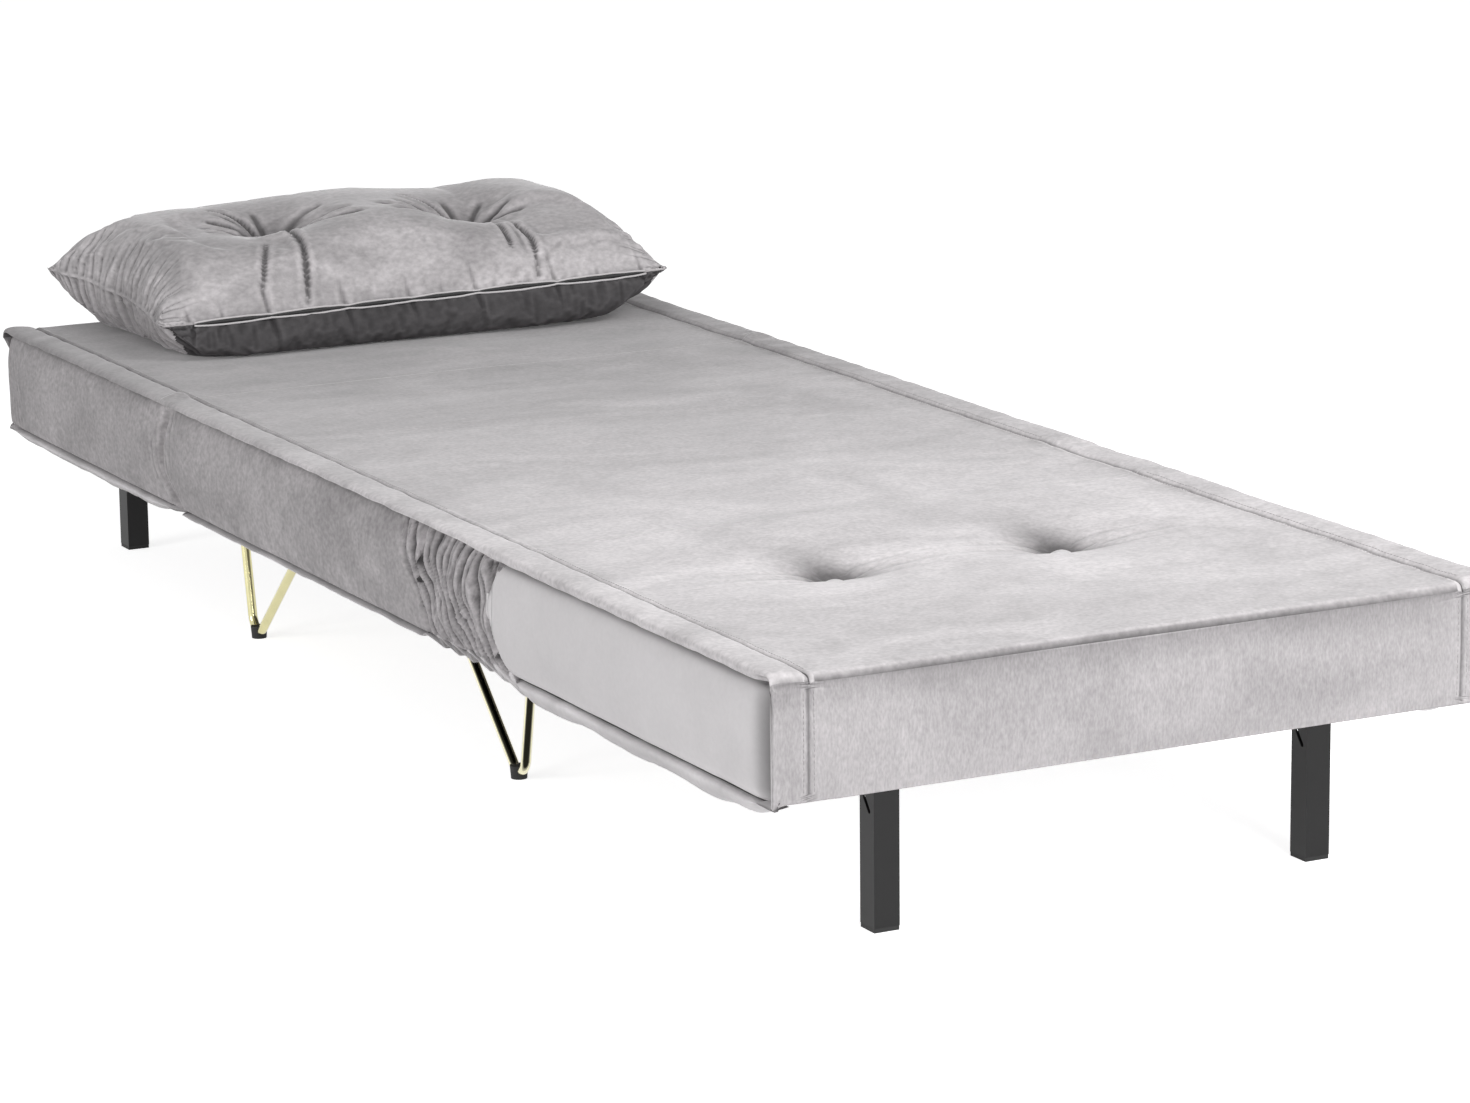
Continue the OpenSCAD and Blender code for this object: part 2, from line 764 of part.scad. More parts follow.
module back_buttons() {
  color(velvet_dark)
  for (side = [-1, 1])
    translate([side * tuft_x, tuft_y, 0]) {
      translate([0, 0, button_z]) cylinder(h = button_r * 0.18, r1 = button_r * 0.82, r2 = button_r);
      translate([0, 0, button_z + button_r * 0.18]) intersection() {
        translate([0, 0, -button_r * 1.24]) sphere(r = button_r * 1.6);
        cylinder(h = button_r, r = button_r * 0.96);
      }
      translate([0, 0, foam_z]) cylinder(h = button_z - foam_z + 1, r = button_r * 0.136);
    }
}

// Square folding legs
module leg_lug(x, y) {
  color(steel_black)
  yz_sheet(x - 3, 6) difference() {
    union() {
      translate([y, leg_pivot_z]) circle(r = 9);
      translate([y - 9, leg_pivot_z]) square([18, frame_z - leg_pivot_z]);
    }
    translate([y, leg_pivot_z]) circle(r = leg_pin_r + run_clear);
  }
}

module leg_pin(x, y) {
  reach = leg_w / 2 + 0.3;
  color(steel_grey) {
    bar_x(x - reach - 1, x + reach + 1, y, leg_pivot_z, leg_pin_r);
    bar_x(x - reach - 1.5, x - reach, y, leg_pivot_z, leg_pin_r + 2);
    bar_x(x + reach, x + reach + 1.5, y, leg_pivot_z, leg_pin_r + 2);
  }
}

// Leg with its open side towards dir, which is the way that it folds
module leg(x, y, dir) {
  half = leg_w / 2;
  inner = half - leg_wall;
  head_r = leg_pivot_drop - 2;
  slot_l = 22;
  color(steel_black)
  difference() {
    intersection() {
      block([x - half, y - half, foot_t], [x + half, y + half, leg_pivot_z + head_r]);
      union() {
        block([x - half, y - half, 0], [x + half, y + half, leg_pivot_z]);
        block([x - half, dir > 0 ? y - half : y, 0], [x + half, dir > 0 ? y : y + half, leg_pivot_z + head_r]);
        bar_x(x - half, x + half, y, leg_pivot_z, head_r);
      }
    }
    block([x - inner, y - inner, 0], [x + inner, y + inner, leg_pivot_z + 30]);
    block([x - inner, dir > 0 ? y : y - half - 1, leg_pivot_z - 14],
      [x + inner, dir > 0 ? y + half + 1 : y, leg_pivot_z + 30]);
    bar_x(x - half - 1, x + half + 1, y, leg_pivot_z, leg_pin_r + run_clear);
    translate([x, y, leg_pivot_z - 17]) rotate([-dir * 38, 0, 0]) {
      block([-half - 1, -2.2, -slot_l / 2 + 4], [half + 1, 2.2, slot_l / 2 - 4]);
      bar_x(-half - 1, half + 1, 0, slot_l / 2 - 4, 2.2);
      bar_x(-half - 1, half + 1, 0, 4 - slot_l / 2, 2.2);
    }
  }
}

module foot_plug(x, y) {
  half = leg_w / 2;
  inner = half - leg_wall - 0.2;
  color(steel_black) {
    block([x - half + 0.3, y - half + 0.3, 0], [x + half - 0.3, y + half - 0.3, foot_t]);
    block([x - inner, y - inner, foot_t - 1], [x + inner, y + inner, foot_t + 16]);
  }
}

module back_leg_lugs() {
  for (side = [-1, 1])
    leg_lug(side * back_leg_x, back_leg_y);
}

module back_leg_pins() {
  for (side = [-1, 1])
    leg_pin(side * back_leg_x, back_leg_y);
}

module back_leg_left() {
  leg(back_leg_x, back_leg_y, -1);
}

module back_leg_right() {
  leg(-back_leg_x, back_leg_y, -1);
}

module back_foot_left() {
  foot_plug(back_leg_x, back_leg_y);
}

module back_foot_right() {
  foot_plug(-back_leg_x, back_leg_y);
}

// Front section
module front_frame() {
  color(steel_black) {
    for (side = [-1, 1])
      tube_along_y(side * side_rail_x, front_end + end_pad + 3, flip_y - 8 - tube_w);
    tube_along_x(-front_ear_x - 1, front_ear_x + 1, flip_y - 8 - tube_w / 2);
    tube_along_x(-side_rail_x, side_rail_x, front_leg_y);
    tube_along_x(-side_rail_x, side_rail_x, (flip_y + front_leg_y) / 2);
    for (x = [front_ear_x, -front_ear_x - ear_t])
      flip_ear(x, -1);
  }
}

module front_slats() {
  slat_row(front_end + end_pad + 8, flip_y - 10, 5);
}

module front_foam() {
  color(foam_colour)
  block([-foam_half, front_end + end_pad + seat_clear, foam_z],
    [foam_half, flip_y - joint_half - joint_wall - seat_clear, foam_top - seat_clear]);
}

module front_cover() {
  y0 = front_end;
  y1 = flip_y - joint_half;
  color(velvet)
  difference() {
    cover_body(y0, y1, -1, concat([y0 + 6, y0 + 14], [for (t = [0.12, 0.25, 0.4, 0.55, 0.7, 0.85, 0.93])
      y0 + t * (y1 - y0)]), false);
    block([-cavity_w, y0 + end_pad, under_h + base_cloth], [cavity_w, y1 - joint_wall, foam_top]);
    ear_room(-1);
    for (side = [-1, 1])
      lug_hole(side * front_leg_x, front_leg_y);
  }
}

module front_leg_lugs() {
  for (side = [-1, 1])
    leg_lug(side * front_leg_x, front_leg_y);
}

module front_leg_pins() {
  for (side = [-1, 1])
    leg_pin(side * front_leg_x, front_leg_y);
}

module front_leg_left() {
  leg(front_leg_x, front_leg_y, 1);
}

module front_leg_right() {
  leg(-front_leg_x, front_leg_y, 1);
}

module front_foot_left() {
  foot_plug(front_leg_x, front_leg_y);
}

module front_foot_right() {
  foot_plug(-front_leg_x, front_leg_y);
}

// Pillow with a knife edge, its seam lower at the front than at the back
// Outline pulled in between its corners, u and v run from -1 to 1
function pillow_x_at(u, v) = pillow_l / 2 * u * (1 - 0.07 * (1 - pow(v, 2)) * pow(abs(u), 6));
function pillow_y_at(u, v) = pillow_d / 2 * v * (1 - 0.03 * (1 - pow(u, 2)) * pow(abs(v), 6));
function pillow_fill(u, v) =
  let (w = (v - pillow_crest) / (v > pillow_crest ? 1 - pillow_crest : 1 + pillow_crest))
  pow(max(0, 1 - pow(abs(u), 3)), 0.5) * pow(max(0, 1 - pow(abs(w), 2.6)), 0.5);
function pillow_seam(v) = (pillow_seam_front + pillow_seam_back) / 2
  + v * (pillow_seam_front - pillow_seam_back) / 2;
function pillow_dip(u, v) =
  let (r = norm([abs(u) * pillow_l / 2 - pillow_tuft_x, v * pillow_d / 2]))
  pillow_tuft * (bell(r, pillow_tuft * 0.81) + 0.24 * bell(r, pillow_tuft * 1.9));
function pillow_top(u, v) = pillow_seam(v) + 1
  + (pillow_h - pillow_seam(v)) * pillow_fill(u, v) - pillow_dip(u, v) * pillow_fill(u, v);
function pillow_bottom(u, v) = max(0, (pillow_seam(v) - 1) * (1 - 1.25 * pillow_fill(u, v)));

module pillow_cover() {
  us = [-1, -0.96, -0.88, -0.76, -0.64, -0.56, -0.48, -0.41, -0.34, -0.25, -0.13, 0,
    0.13, 0.25, 0.34, 0.41, 0.48, 0.56, 0.64, 0.76, 0.88, 0.96, 1];
  vs = [-1, -0.94, -0.82, -0.64, -0.44, -0.3, -0.2, -0.1, 0, 0.1, 0.2, 0.32, 0.48, 0.64, 0.82, 0.94, 1];
  base_z = pillow_z;
  rings = [for (u = us) concat(
    [for (v = vs) [pillow_x + pillow_x_at(u, v), pillow_y + pillow_y_at(u, v), base_z + pillow_bottom(u, v)]],
    [for (k = [len(vs) - 1:-1:0]) let (v = vs[k])
      [pillow_x + pillow_x_at(u, v), pillow_y + pillow_y_at(u, v), base_z + pillow_top(u, v)]]
  )];
  color(velvet)
  difference() {
    strip(rings);
    for (side = [-1, 1])
      translate([pillow_x + side * pillow_tuft_x, pillow_y, pillow_z + pillow_h - pillow_tuft - 16])
        cylinder(h = 60, r = 9);
  }
}

module pillow_buttons() {
  color(velvet_dark)
  for (side = [-1, 1])
    translate([pillow_x + side * pillow_tuft_x, pillow_y, pillow_z + pillow_h - pillow_tuft - 15.7]) {
      cylinder(h = 4, r = 8.5);
      translate([0, 0, 4]) cylinder(h = 2.5, r1 = 8.5, r2 = 5);
    }
}

module pillow_zip() {
  steps = 10;
  seam_z = pillow_z + pillow_seam_front;
  rings = [for (k = [-steps:steps])
    let (u = -0.8 * k / steps, x = pillow_x + pillow_x_at(u, 1), y = pillow_y + pillow_y_at(u, 1) + 0.5)
    [[x, y, seam_z - 3], [x, y + 2, seam_z - 3], [x, y + 2, seam_z + 3], [x, y, seam_z + 3]]];
  color(velvet_dark)
  strip(rings);
}

seat_frame();
seat_slats();
seat_foam();
seat_cover();
hairpin_front_left();
hairpin_front_right();
hairpin_rear_left();
hairpin_rear_right();
hairpin_feet();
hairpin_screws();
recline_plate_left();
recline_plate_right();
recline_bolts();
pawl_spring_left();
pawl_spring_right();
gusset_left();
gusset_right();
gusset_top();
flip_pins();
pawl_left();
pawl_right();
back_frame();
back_slats();
back_foam();
back_cover();
back_buttons();
ratchet_left();
ratchet_right();
back_leg_lugs();
back_leg_pins();
back_leg_left();
back_leg_right();
back_foot_left();
back_foot_right();
front_frame();
front_slats();
front_foam();
front_cover();
front_leg_lugs();
front_leg_pins();
front_leg_left();
front_leg_right();
front_foot_left();
front_foot_right();
pillow_cover();
pillow_buttons();
pillow_zip();
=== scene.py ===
"""Single folding sofa bed laid flat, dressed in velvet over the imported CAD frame.

Lengths in the classes are millimetres unless a name says otherwise. X runs across
the bed, +Y towards the tufted end and Z up from the floor.
"""
import logging
import math
from dataclasses import dataclass, field
from enum import Enum, IntEnum

import bmesh
import bpy
import numpy as np
from mathutils import Matrix, Vector, noise
from mathutils.bvhtree import BVHTree


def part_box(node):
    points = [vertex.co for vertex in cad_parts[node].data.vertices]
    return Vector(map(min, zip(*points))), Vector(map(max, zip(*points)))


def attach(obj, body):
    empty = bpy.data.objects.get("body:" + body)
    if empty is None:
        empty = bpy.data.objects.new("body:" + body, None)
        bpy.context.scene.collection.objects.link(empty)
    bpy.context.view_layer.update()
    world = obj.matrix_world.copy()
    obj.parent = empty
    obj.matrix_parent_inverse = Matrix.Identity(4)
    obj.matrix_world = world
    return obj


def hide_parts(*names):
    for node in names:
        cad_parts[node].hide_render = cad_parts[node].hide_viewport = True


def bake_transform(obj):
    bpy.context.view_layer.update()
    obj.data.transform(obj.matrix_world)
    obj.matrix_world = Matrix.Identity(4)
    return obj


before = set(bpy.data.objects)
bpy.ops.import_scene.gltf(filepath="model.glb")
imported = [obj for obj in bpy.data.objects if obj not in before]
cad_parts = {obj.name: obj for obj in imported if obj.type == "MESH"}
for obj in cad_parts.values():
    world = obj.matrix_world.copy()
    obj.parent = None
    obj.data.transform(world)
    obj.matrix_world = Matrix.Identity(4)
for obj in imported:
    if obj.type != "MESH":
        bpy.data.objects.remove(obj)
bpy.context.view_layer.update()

MM = 0.001
logging.basicConfig(level=logging.INFO, format="%(message)s")
log = logging.getLogger("sofa bed")

Array = np.ndarray
Triple = tuple[float, float, float]
Object = bpy.types.Object
Material = bpy.types.Material
Socket = bpy.types.NodeSocket

DOWN = Vector((0, 0, -1))
WHITE = (1, 1, 1, 1)
SEED_SHIFT = 17.3

# Parts of the half outline, counted in its control points from the middle of the underside.
# Each has where it opens, over how much, where it closes and over how much.
SLACK = (2.5, 1.0, 8.2, 0.8)
PANEL = (9.2, 1.3, 14.5, 1.3)
PANEL_FACE = (9, 0.5, 15.2, 0.8)
FLANGE = (17, 1.0, 26, 1.5)
END_SIDE = (8.3, 0.7, 19.5, 1.0)
UNDERSIDE_TO, SLACK_TO, PANEL_TO, TOP_FROM = 2.0, 8.6, 15.5, 26


def smooth(t: Array | float) -> Array:
    """Smooth step of t, held at 0 and 1."""
    c = np.clip(t, 0.0, 1.0)
    return c * c * (3 - 2 * c)


def bell(r: Array | float, width: float) -> Array:
    """Bell curve of r with its width in the same unit."""
    return np.exp(-((np.asarray(r) / width) ** 2))


def window(p: Array, start: float, rise: float, stop: float, fall: float) -> Array:
    """Soft window that opens over rise from start and closes over fall from stop."""
    return smooth((p - start) / rise) * (1 - smooth((p - stop) / fall))


def ridges(phase: Array, sharp: float = 0.7) -> Array:
    """Sharp ridges from 0 to 1, one at each whole phase."""
    return 1 - np.abs(np.sin(np.pi * phase)) ** sharp


def dome(t: Array, power: Array | float) -> Array:
    """Rounded dome, 1 in the middle and 0 where t is -1 or 1."""
    return np.sqrt(np.clip(1 - np.abs(t) ** power, 0, 1))


def cloth_noise(points: Array, scale: Triple, seed: float) -> Array:
    """Smooth noise at points.

    Args:
        points: array of shape (n, 3) in millimetres.
        scale: wave length along each axis in millimetres.
        seed: shift that sets one pattern apart from another.

    Returns:
        Array of n values between about -1 and 1.
    """
    scaled = points / np.array(scale) + seed * SEED_SHIFT
    return np.array([noise.noise(Vector(p)) for p in scaled])


def line_noise(t: Array, wave: float, seed: float) -> Array:
    """Smooth noise along one line, with its wave length in millimetres."""
    return cloth_noise(np.stack([t, t * 0, t * 0], -1), (wave, 1.0, 1.0), seed)


def mesh_object(
    name: str, verts: Array | list, faces: list, materials: list, slots: list | None = None
) -> Object:
    """Make a smooth-shaded mesh object from points in millimetres.

    Args:
        name: name of the piece.
        verts: n points in millimetres.
        faces: lists of point numbers.
        materials: materials of the piece in slot order.
        slots: material slot of each face, all 0 if it is left out.

    Returns:
        The new object, linked to the scene.
    """
    mesh = bpy.data.meshes.new(name)
    mesh.from_pydata((np.array([list(v) for v in verts]) * MM).tolist(), [], faces)
    for material in materials:
        mesh.materials.append(material)
    if slots is not None:
        mesh.polygons.foreach_set("material_index", slots)
    mesh.polygons.foreach_set("use_smooth", [True] * len(mesh.polygons))
    mesh.update()
    obj = bpy.data.objects.new(name, mesh)
    bpy.context.collection.objects.link(obj)
    return obj


def points_of(obj: Object, what: str = "co") -> Array:
    """Read a vector of each point of a mesh as an array of shape (n, 3).

    Args:
        obj: mesh object.
        what: name of the vector, the place or the normal.

    Returns:
        Array of shape (n, 3).
    """
    values = np.empty(len(obj.data.vertices) * 3)
    obj.data.vertices.foreach_get(what, values)
    return values.reshape(-1, 3)


def move_points(obj: Object, points: Array) -> None:
    """Put the points of a mesh at new places in metres."""
    obj.data.vertices.foreach_set("co", points.ravel())
    obj.data.update()


def ring_faces(first: int, second: int, count: int) -> list[list[int]]:
    """Quads from one closed ring of points to the next, given each ring's first point."""
    after = [(i + 1) % count for i in range(count)]
    return [[first + i, first + j, second + j, second + i] for i, j in enumerate(after)]


def surface_of(obj: Object) -> BVHTree:
    """Search tree over an object's mesh, in the scene's frame.

    Args:
        obj: mesh object.

    Returns:
        The search tree.
    """
    body = bmesh.new()
    body.from_mesh(obj.data)
    body.transform(obj.matrix_world)
    tree = BVHTree.FromBMesh(body)
    body.free()
    return tree


def fold_values(obj: Object, reach: float = 7.0, passes: int = 2) -> Array:
    """Measure how far each point of a mesh lies on a ridge or in a crease.

    Args:
        obj: mesh object in metres.
        reach: width of the folds that count, in millimetres.
        passes: rounds of smoothing.

    Returns:
        A value for each point, above 0 on ridges and below 0 in creases.
    """
    edges = obj.data.edges
    co, normal = points_of(obj) / MM, points_of(obj, "normal")
    count = len(co)
    ends = np.empty(len(edges) * 2, dtype=np.int64)
    edges.foreach_get("vertices", ends)
    a, b = ends.reshape(-1, 2).T
    step = co[b] - co[a]
    span = (step ** 2).sum(1) + 0.25
    bend = np.bincount(a, (step * normal[a]).sum(1) / span, count)
    bend = bend - np.bincount(b, (step * normal[b]).sum(1) / span, count)
    near = np.maximum(np.bincount(a, minlength=count) + np.bincount(b, minlength=count), 1)
    bend /= near
    for _ in range(passes):
        bend = (bend + (np.bincount(a, bend[b], count) + np.bincount(b, bend[a], count)) / near) / 2
    return np.tanh(-bend * reach)


def store_fold_shade(obj: Object, values: Array) -> None:
    """Keep the fold values on the mesh, where the velvet reads them as painted shade in creases and
    painted highlight on ridges.
    """
    layer = obj.data.attributes.new("fold", "FLOAT", "POINT")
    layer.data.foreach_set("value", np.clip(values, -1, 1).astype(np.float32))


class NodeSheet:
    """Small helper that lays out the nodes of one material or of the world."""

    def __init__(self, owner: Material | bpy.types.World, output: str = "OutputMaterial") -> None:
        """Start an empty node tree with its output.

        Args:
            owner: the material or the world.
            output: the output node's type.
        """
        owner.use_nodes = True
        self.tree = owner.node_tree
        self.tree.nodes.clear()
        self.surface = self.node(output).inputs["Surface"]

    def node(
        self, kind: str, constants: dict | None = None, links: dict | None = None
    ) -> bpy.types.Node:
        """Add one node.

        Args:
            kind: the shader node's type.
            constants: value of each named socket.
            links: source of each named or numbered socket.

        Returns:
            The new node.
        """
        node = self.tree.nodes.new("ShaderNode" + kind)
        for socket, amount in (constants or {}).items():
            node.inputs[socket].default_value = amount
        for socket, source in (links or {}).items():
            self.link(source, node.inputs[socket])
        return node

    def link(self, source: Socket, target: Socket) -> None:
        """Link one socket to another."""
        self.tree.links.new(source, target)

    def noise(self, scale: Triple, detail: float, distortion: float = 0.0) -> Socket:
        """Noise in object space.

        Args:
            scale: patterns per metre along each axis.
            detail: octaves of the noise.
            distortion: how far the pattern is warped.

        Returns:
            The socket with the noise value.
        """
        place = self.node("TexCoord").outputs["Object"]
        mapping = self.node("Mapping", {"Scale": scale}, {"Vector": place})
        sizes = {"Scale": 1.0, "Detail": detail, "Distortion": distortion}
        pattern = self.node("TexNoise", sizes, {"Vector": mapping.outputs["Vector"]})
        return pattern.outputs["Fac"]

    def ranged(self, source: Socket, low: float, high: float, first: float, last: float) -> Socket:
        """Map low..high of a value to first..last."""
        limits = {"From Min": low, "From Max": high, "To Min": first, "To Max": last}
        return self.node("MapRange", limits, {"Value": source}).outputs["Result"]

    def varied(self, source: Socket, share: float) -> Socket:
        """Turn noise into a factor that varies about 1 by a share."""
        return self.ranged(source, 0.3, 0.7, 1 - share, 1 + share)

    def maths(self, operation: str, a: Socket, b: Socket) -> Socket:
        """Result of an operation on two values.

        Args:
            operation: name of the operation.
            a: first value.
            b: second value.

        Returns:
            The socket with the result.
        """
        node = self.node("Math", links={0: a, 1: b})
        node.operation = operation
        return node.outputs[0]

    def times(self, a: Socket, b: Socket) -> Socket:
        """Product of two values."""
        return self.maths("MULTIPLY", a, b)

    def along_bed(self) -> Socket:
        """Place along the bed in metres."""
        place = self.node("TexCoord").outputs["Object"]
        return self.node("SeparateXYZ", links={0: place}).outputs["Y"]

    def folds(self) -> Socket:
        """The fold value stored on the mesh, which paints shade into creases and highlight onto
        ridges.
        """
        node = self.node("Attribute")
        node.attribute_name = "fold"
        return node.outputs["Fac"]

    def scaled_colour(self, colour: Triple, amount: Socket) -> Socket:
        """Colour times a value.

        Args:
            colour: red, green and blue.
            amount: the value.

        Returns:
            The socket with the colour.
        """
        node = self.node("VectorMath")
        node.operation = "SCALE"
        node.inputs[0].default_value = colour
        self.link(amount, node.inputs["Scale"])
        return node.outputs[0]

    def principled(self, colour: Triple, tone: Socket, constants: dict) -> bpy.types.Node:
        """Show a Principled shader in a colour times a tone.

        Args:
            colour: red, green and blue.
            tone: lightness of the colour at each place.
            constants: values of the shader's own sockets.

        Returns:
            The shader.
        """
        links = {"Base Color": self.scaled_colour(colour, tone)}
        shader = self.node("BsdfPrincipled", constants, links)
        self.link(shader.outputs[0], self.surface)
        return shader

    def white_when_seen(self, plain: bpy.types.Node, bright: bpy.types.Node) -> None:
        """Show the bright shader to camera, glossy and transmission rays, else the plain one.

        Args:
            plain: shader that lights the object.
            bright: shader that is seen.
        """
        paths = self.node("LightPath").outputs
        seen = self.maths("MAXIMUM", paths["Is Camera Ray"], paths["Is Glossy Ray"])
        seen = self.maths("MAXIMUM", seen, paths["Is Transmission Ray"])
        shaders = {0: seen, 1: plain.outputs[0], 2: bright.outputs[0]}
        self.link(self.node("MixShader", links=shaders).outputs[0], self.surface)


class Nap(Enum):
    """Direction in which the brushed pile streaks, as patterns per metre along X, Y and Z."""

    ACROSS = (60.0, 64.0, 60.0)
    DOWN = (150.0, 60.0, 56.0)
    MOTTLED = (42.0, 52.0, 60.0)


@dataclass(frozen=True)
class Velvet:
    """Short velvet pile with a brushed nap, with painted shade and highlight from the fold values.
    """

    name: str
    colour: Triple
    nap: Nap = Nap.MOTTLED
    streak: float = 0.06
    patch: float = 0.08
    sheen: float = 0.55
    # crease darkens the creases and ridge lightens the ridges: painted shade and painted highlight.
    crease: float = 0.42
    ridge: float = 0.22
    crumple: float = 0.0
    # Painted falloff of light along the top, darker towards the pillow end, and painted shade near
    # the tufted end.
    painted_light_falloff: float = 0.0
    painted_shade_at_end: float = 0.84
    grain_scale: float = 3.4
    grain_share: float = 1.8

    def tone(self, sheet: NodeSheet) -> Socket:
        """Lightness of the pile: streaks, grain, brushed patches, painted fold shade and highlight,
        and a painted falloff of light.

        Args:
            sheet: the material's nodes.

        Returns:
            The socket with the lightness.
        """
        streaks = sheet.varied(sheet.noise(self.nap.value, 5.0, 0.6), self.streak)
        patches = sheet.varied(sheet.noise((5.0, 7.0, 9.0), 3.0, 1.2), self.patch)
        grain = sheet.noise(tuple(self.grain_scale * n for n in self.nap.value), 3.0)
        fibres = sheet.varied(grain, self.grain_share * self.streak)
        # Painted shade in the creases and painted highlight on the ridges, read from the fold
        # values.
        below = sheet.ranged(sheet.folds(), -1.0, 0.0, 1 - self.crease, 1.0)
        above = sheet.ranged(sheet.folds(), 0.0, 1.0, 1.0, 1 + self.ridge)
        tone = sheet.times(streaks, fibres)
        tone = sheet.times(tone, sheet.times(patches, sheet.times(below, above)))
        # Painted light falloff: darker towards the pillow end and again near the tufted end.
        if self.painted_light_falloff:
            y = sheet.along_bed()
            tone = sheet.times(tone, sheet.ranged(y, -0.7, 0.3, 1 - self.painted_light_falloff, 1.0))
            tone = sheet.times(tone, sheet.ranged(y, 0.62, 0.92, 1.0, self.painted_shade_at_end))
        return tone

    def material(self) -> Material:
        """Build the velvet material.

        Returns:
            The material.
        """
        material = bpy.data.materials.new(self.name)
        sheet = NodeSheet(material)
        shader = sheet.principled(self.colour, self.tone(sheet), {
            "Roughness": 0.88,
            "Specular IOR Level": 0.15,
            "Sheen Weight": self.sheen,
            "Sheen Roughness": 0.35,
            "Sheen Tint": (0.95, 0.94, 0.95, 1.0),
        })
        if self.crumple:
            height = sheet.noise((46.0, 120.0, 30.0), 4.0, 1.8)
            relief = {"Strength": self.crumple, "Distance": 0.004}
        else:
            height = sheet.noise((260.0, 260.0, 260.0), 3.0)
            relief = {"Strength": 0.3, "Distance": 0.0006}
        bump = sheet.node("Bump", relief, {"Height": height})
        sheet.link(bump.outputs["Normal"], shader.inputs["Normal"])
        return material


@dataclass(frozen=True)
class Metal:
    """Metal with a little wear in its gloss, and a darker core where it mirrors the dark."""

    name: str
    colour: Triple
    roughness: float
    core: float = 1.0

    def material(self) -> Material:
        """Build the metal material.

        Returns:
            The material.
        """
        material = bpy.data.materials.new(self.name)
        sheet = NodeSheet(material)
        wear = sheet.noise((60.0, 60.0, 60.0), 4.0)
        tone = sheet.ranged(wear, 0.3, 0.7, 0.94, 1.04)
        if self.core < 1:
            facing = sheet.node("LayerWeight").outputs["Facing"]
            tone = sheet.times(tone, sheet.ranged(facing, 0.22, 0.42, self.core, 1.0))
        shader = sheet.principled(self.colour, tone, {"Metallic": 1.0})
        gloss = sheet.ranged(wear, 0.3, 0.7, self.roughness * 0.85, self.roughness * 1.2)
        sheet.link(gloss, shader.inputs["Roughness"])
        return material


@dataclass(frozen=True)
class Plain:
    """Painted, moulded or wooden surface with a soft grain."""

    name: str
    colour: Triple
    roughness: float
    grain: Triple = (40.0, 40.0, 40.0)
    depth: float = 0.04
    specular: float = 0.4

    def material(self) -> Material:
        """Build the plain material.

        Returns:
            The material.
        """
        material = bpy.data.materials.new(self.name)
        sheet = NodeSheet(material)
        tone = sheet.varied(sheet.noise(self.grain, 4.0), self.depth)
        gloss = {"Roughness": self.roughness, "Specular IOR Level": self.specular}
        sheet.principled(self.colour, tone, gloss)
        return material


def made(finish: Velvet | Metal | Plain) -> Material:
    """Field that builds the finish once for each sofa bed."""
    return field(default_factory=finish.material)


@dataclass
class Finishes:
    """All the finishes of the sofa bed."""

    # The top, side, gathered, end and pale velvets are lighter and darker copies of one grey
    # velvet, painted for how each face takes the light and sheen.
    top: Material = made(Velvet("velvet_top", (0.6, 0.575, 0.584), Nap.ACROSS, 0.07, 0.17,
                                crease=0.75, painted_light_falloff=0.52))
    side: Material = made(Velvet("velvet_side", (0.40, 0.381, 0.389), streak=0.1, patch=0.16))
    gathered: Material = made(Velvet("velvet_gathered", (0.34, 0.323, 0.331), streak=0.1,
                                     crease=0.75, ridge=0.5, crumple=0.55))
    pale: Material = made(Velvet("velvet_pale", (0.68, 0.66, 0.67), streak=0.01, patch=0.03,
                                 crease=0.66))
    end: Material = made(Velvet("velvet_end", (0.40, 0.383, 0.391), Nap.DOWN, 0.07, 0.12,
                                crease=0.55))
    # Near-black copy of the velvet laid as painted shade in the seam grooves, under the flange,
    # along the hem and behind the strip.
    seam: Material = made(Velvet("velvet_in_the_seams", (0.13, 0.123, 0.127), sheen=0.0))
    slack: Material = made(Velvet("velvet_slack", (0.62, 0.60, 0.61), streak=0.02, patch=0.16,
                                  crease=0.6))
    pillow: Material = made(Velvet("velvet_pillow", (0.43, 0.411, 0.419), streak=0.08, patch=0.2,
                                   sheen=0.75, crease=0.7, ridge=0.3))
    pillow_underside_shade: Material = made(Velvet("velvet_pillow_under", (0.062, 0.059, 0.061), sheen=0.08,
                                         crease=0.6, ridge=0.9))
    lip: Material = made(Velvet("velvet_zip_lips", (0.56, 0.54, 0.55), streak=0.02, patch=0.03))
    thread: Material = made(Plain("thread_grey", (0.36, 0.345, 0.35), 0.7))
    gold: Material = made(Metal("gold_polished", (0.66, 0.62, 0.36), 0.16))
    gold_dark: Material = made(Metal("gold_with_dark_reflection", (0.84, 0.80, 0.58), 0.16, 0.02))
    zinc: Material = made(Metal("zinc_plated_steel", (0.6, 0.61, 0.63), 0.35))
    black: Material = made(Plain("black_satin_paint", (0.010, 0.0097, 0.010), 0.42, specular=0.28))
    rubber: Material = made(Plain("black_rubber", (0.02, 0.02, 0.02), 0.65))
    timber: Material = made(Plain("beech_slat", (0.62, 0.46, 0.27), 0.5, (8.0, 160.0, 160.0), 0.12))


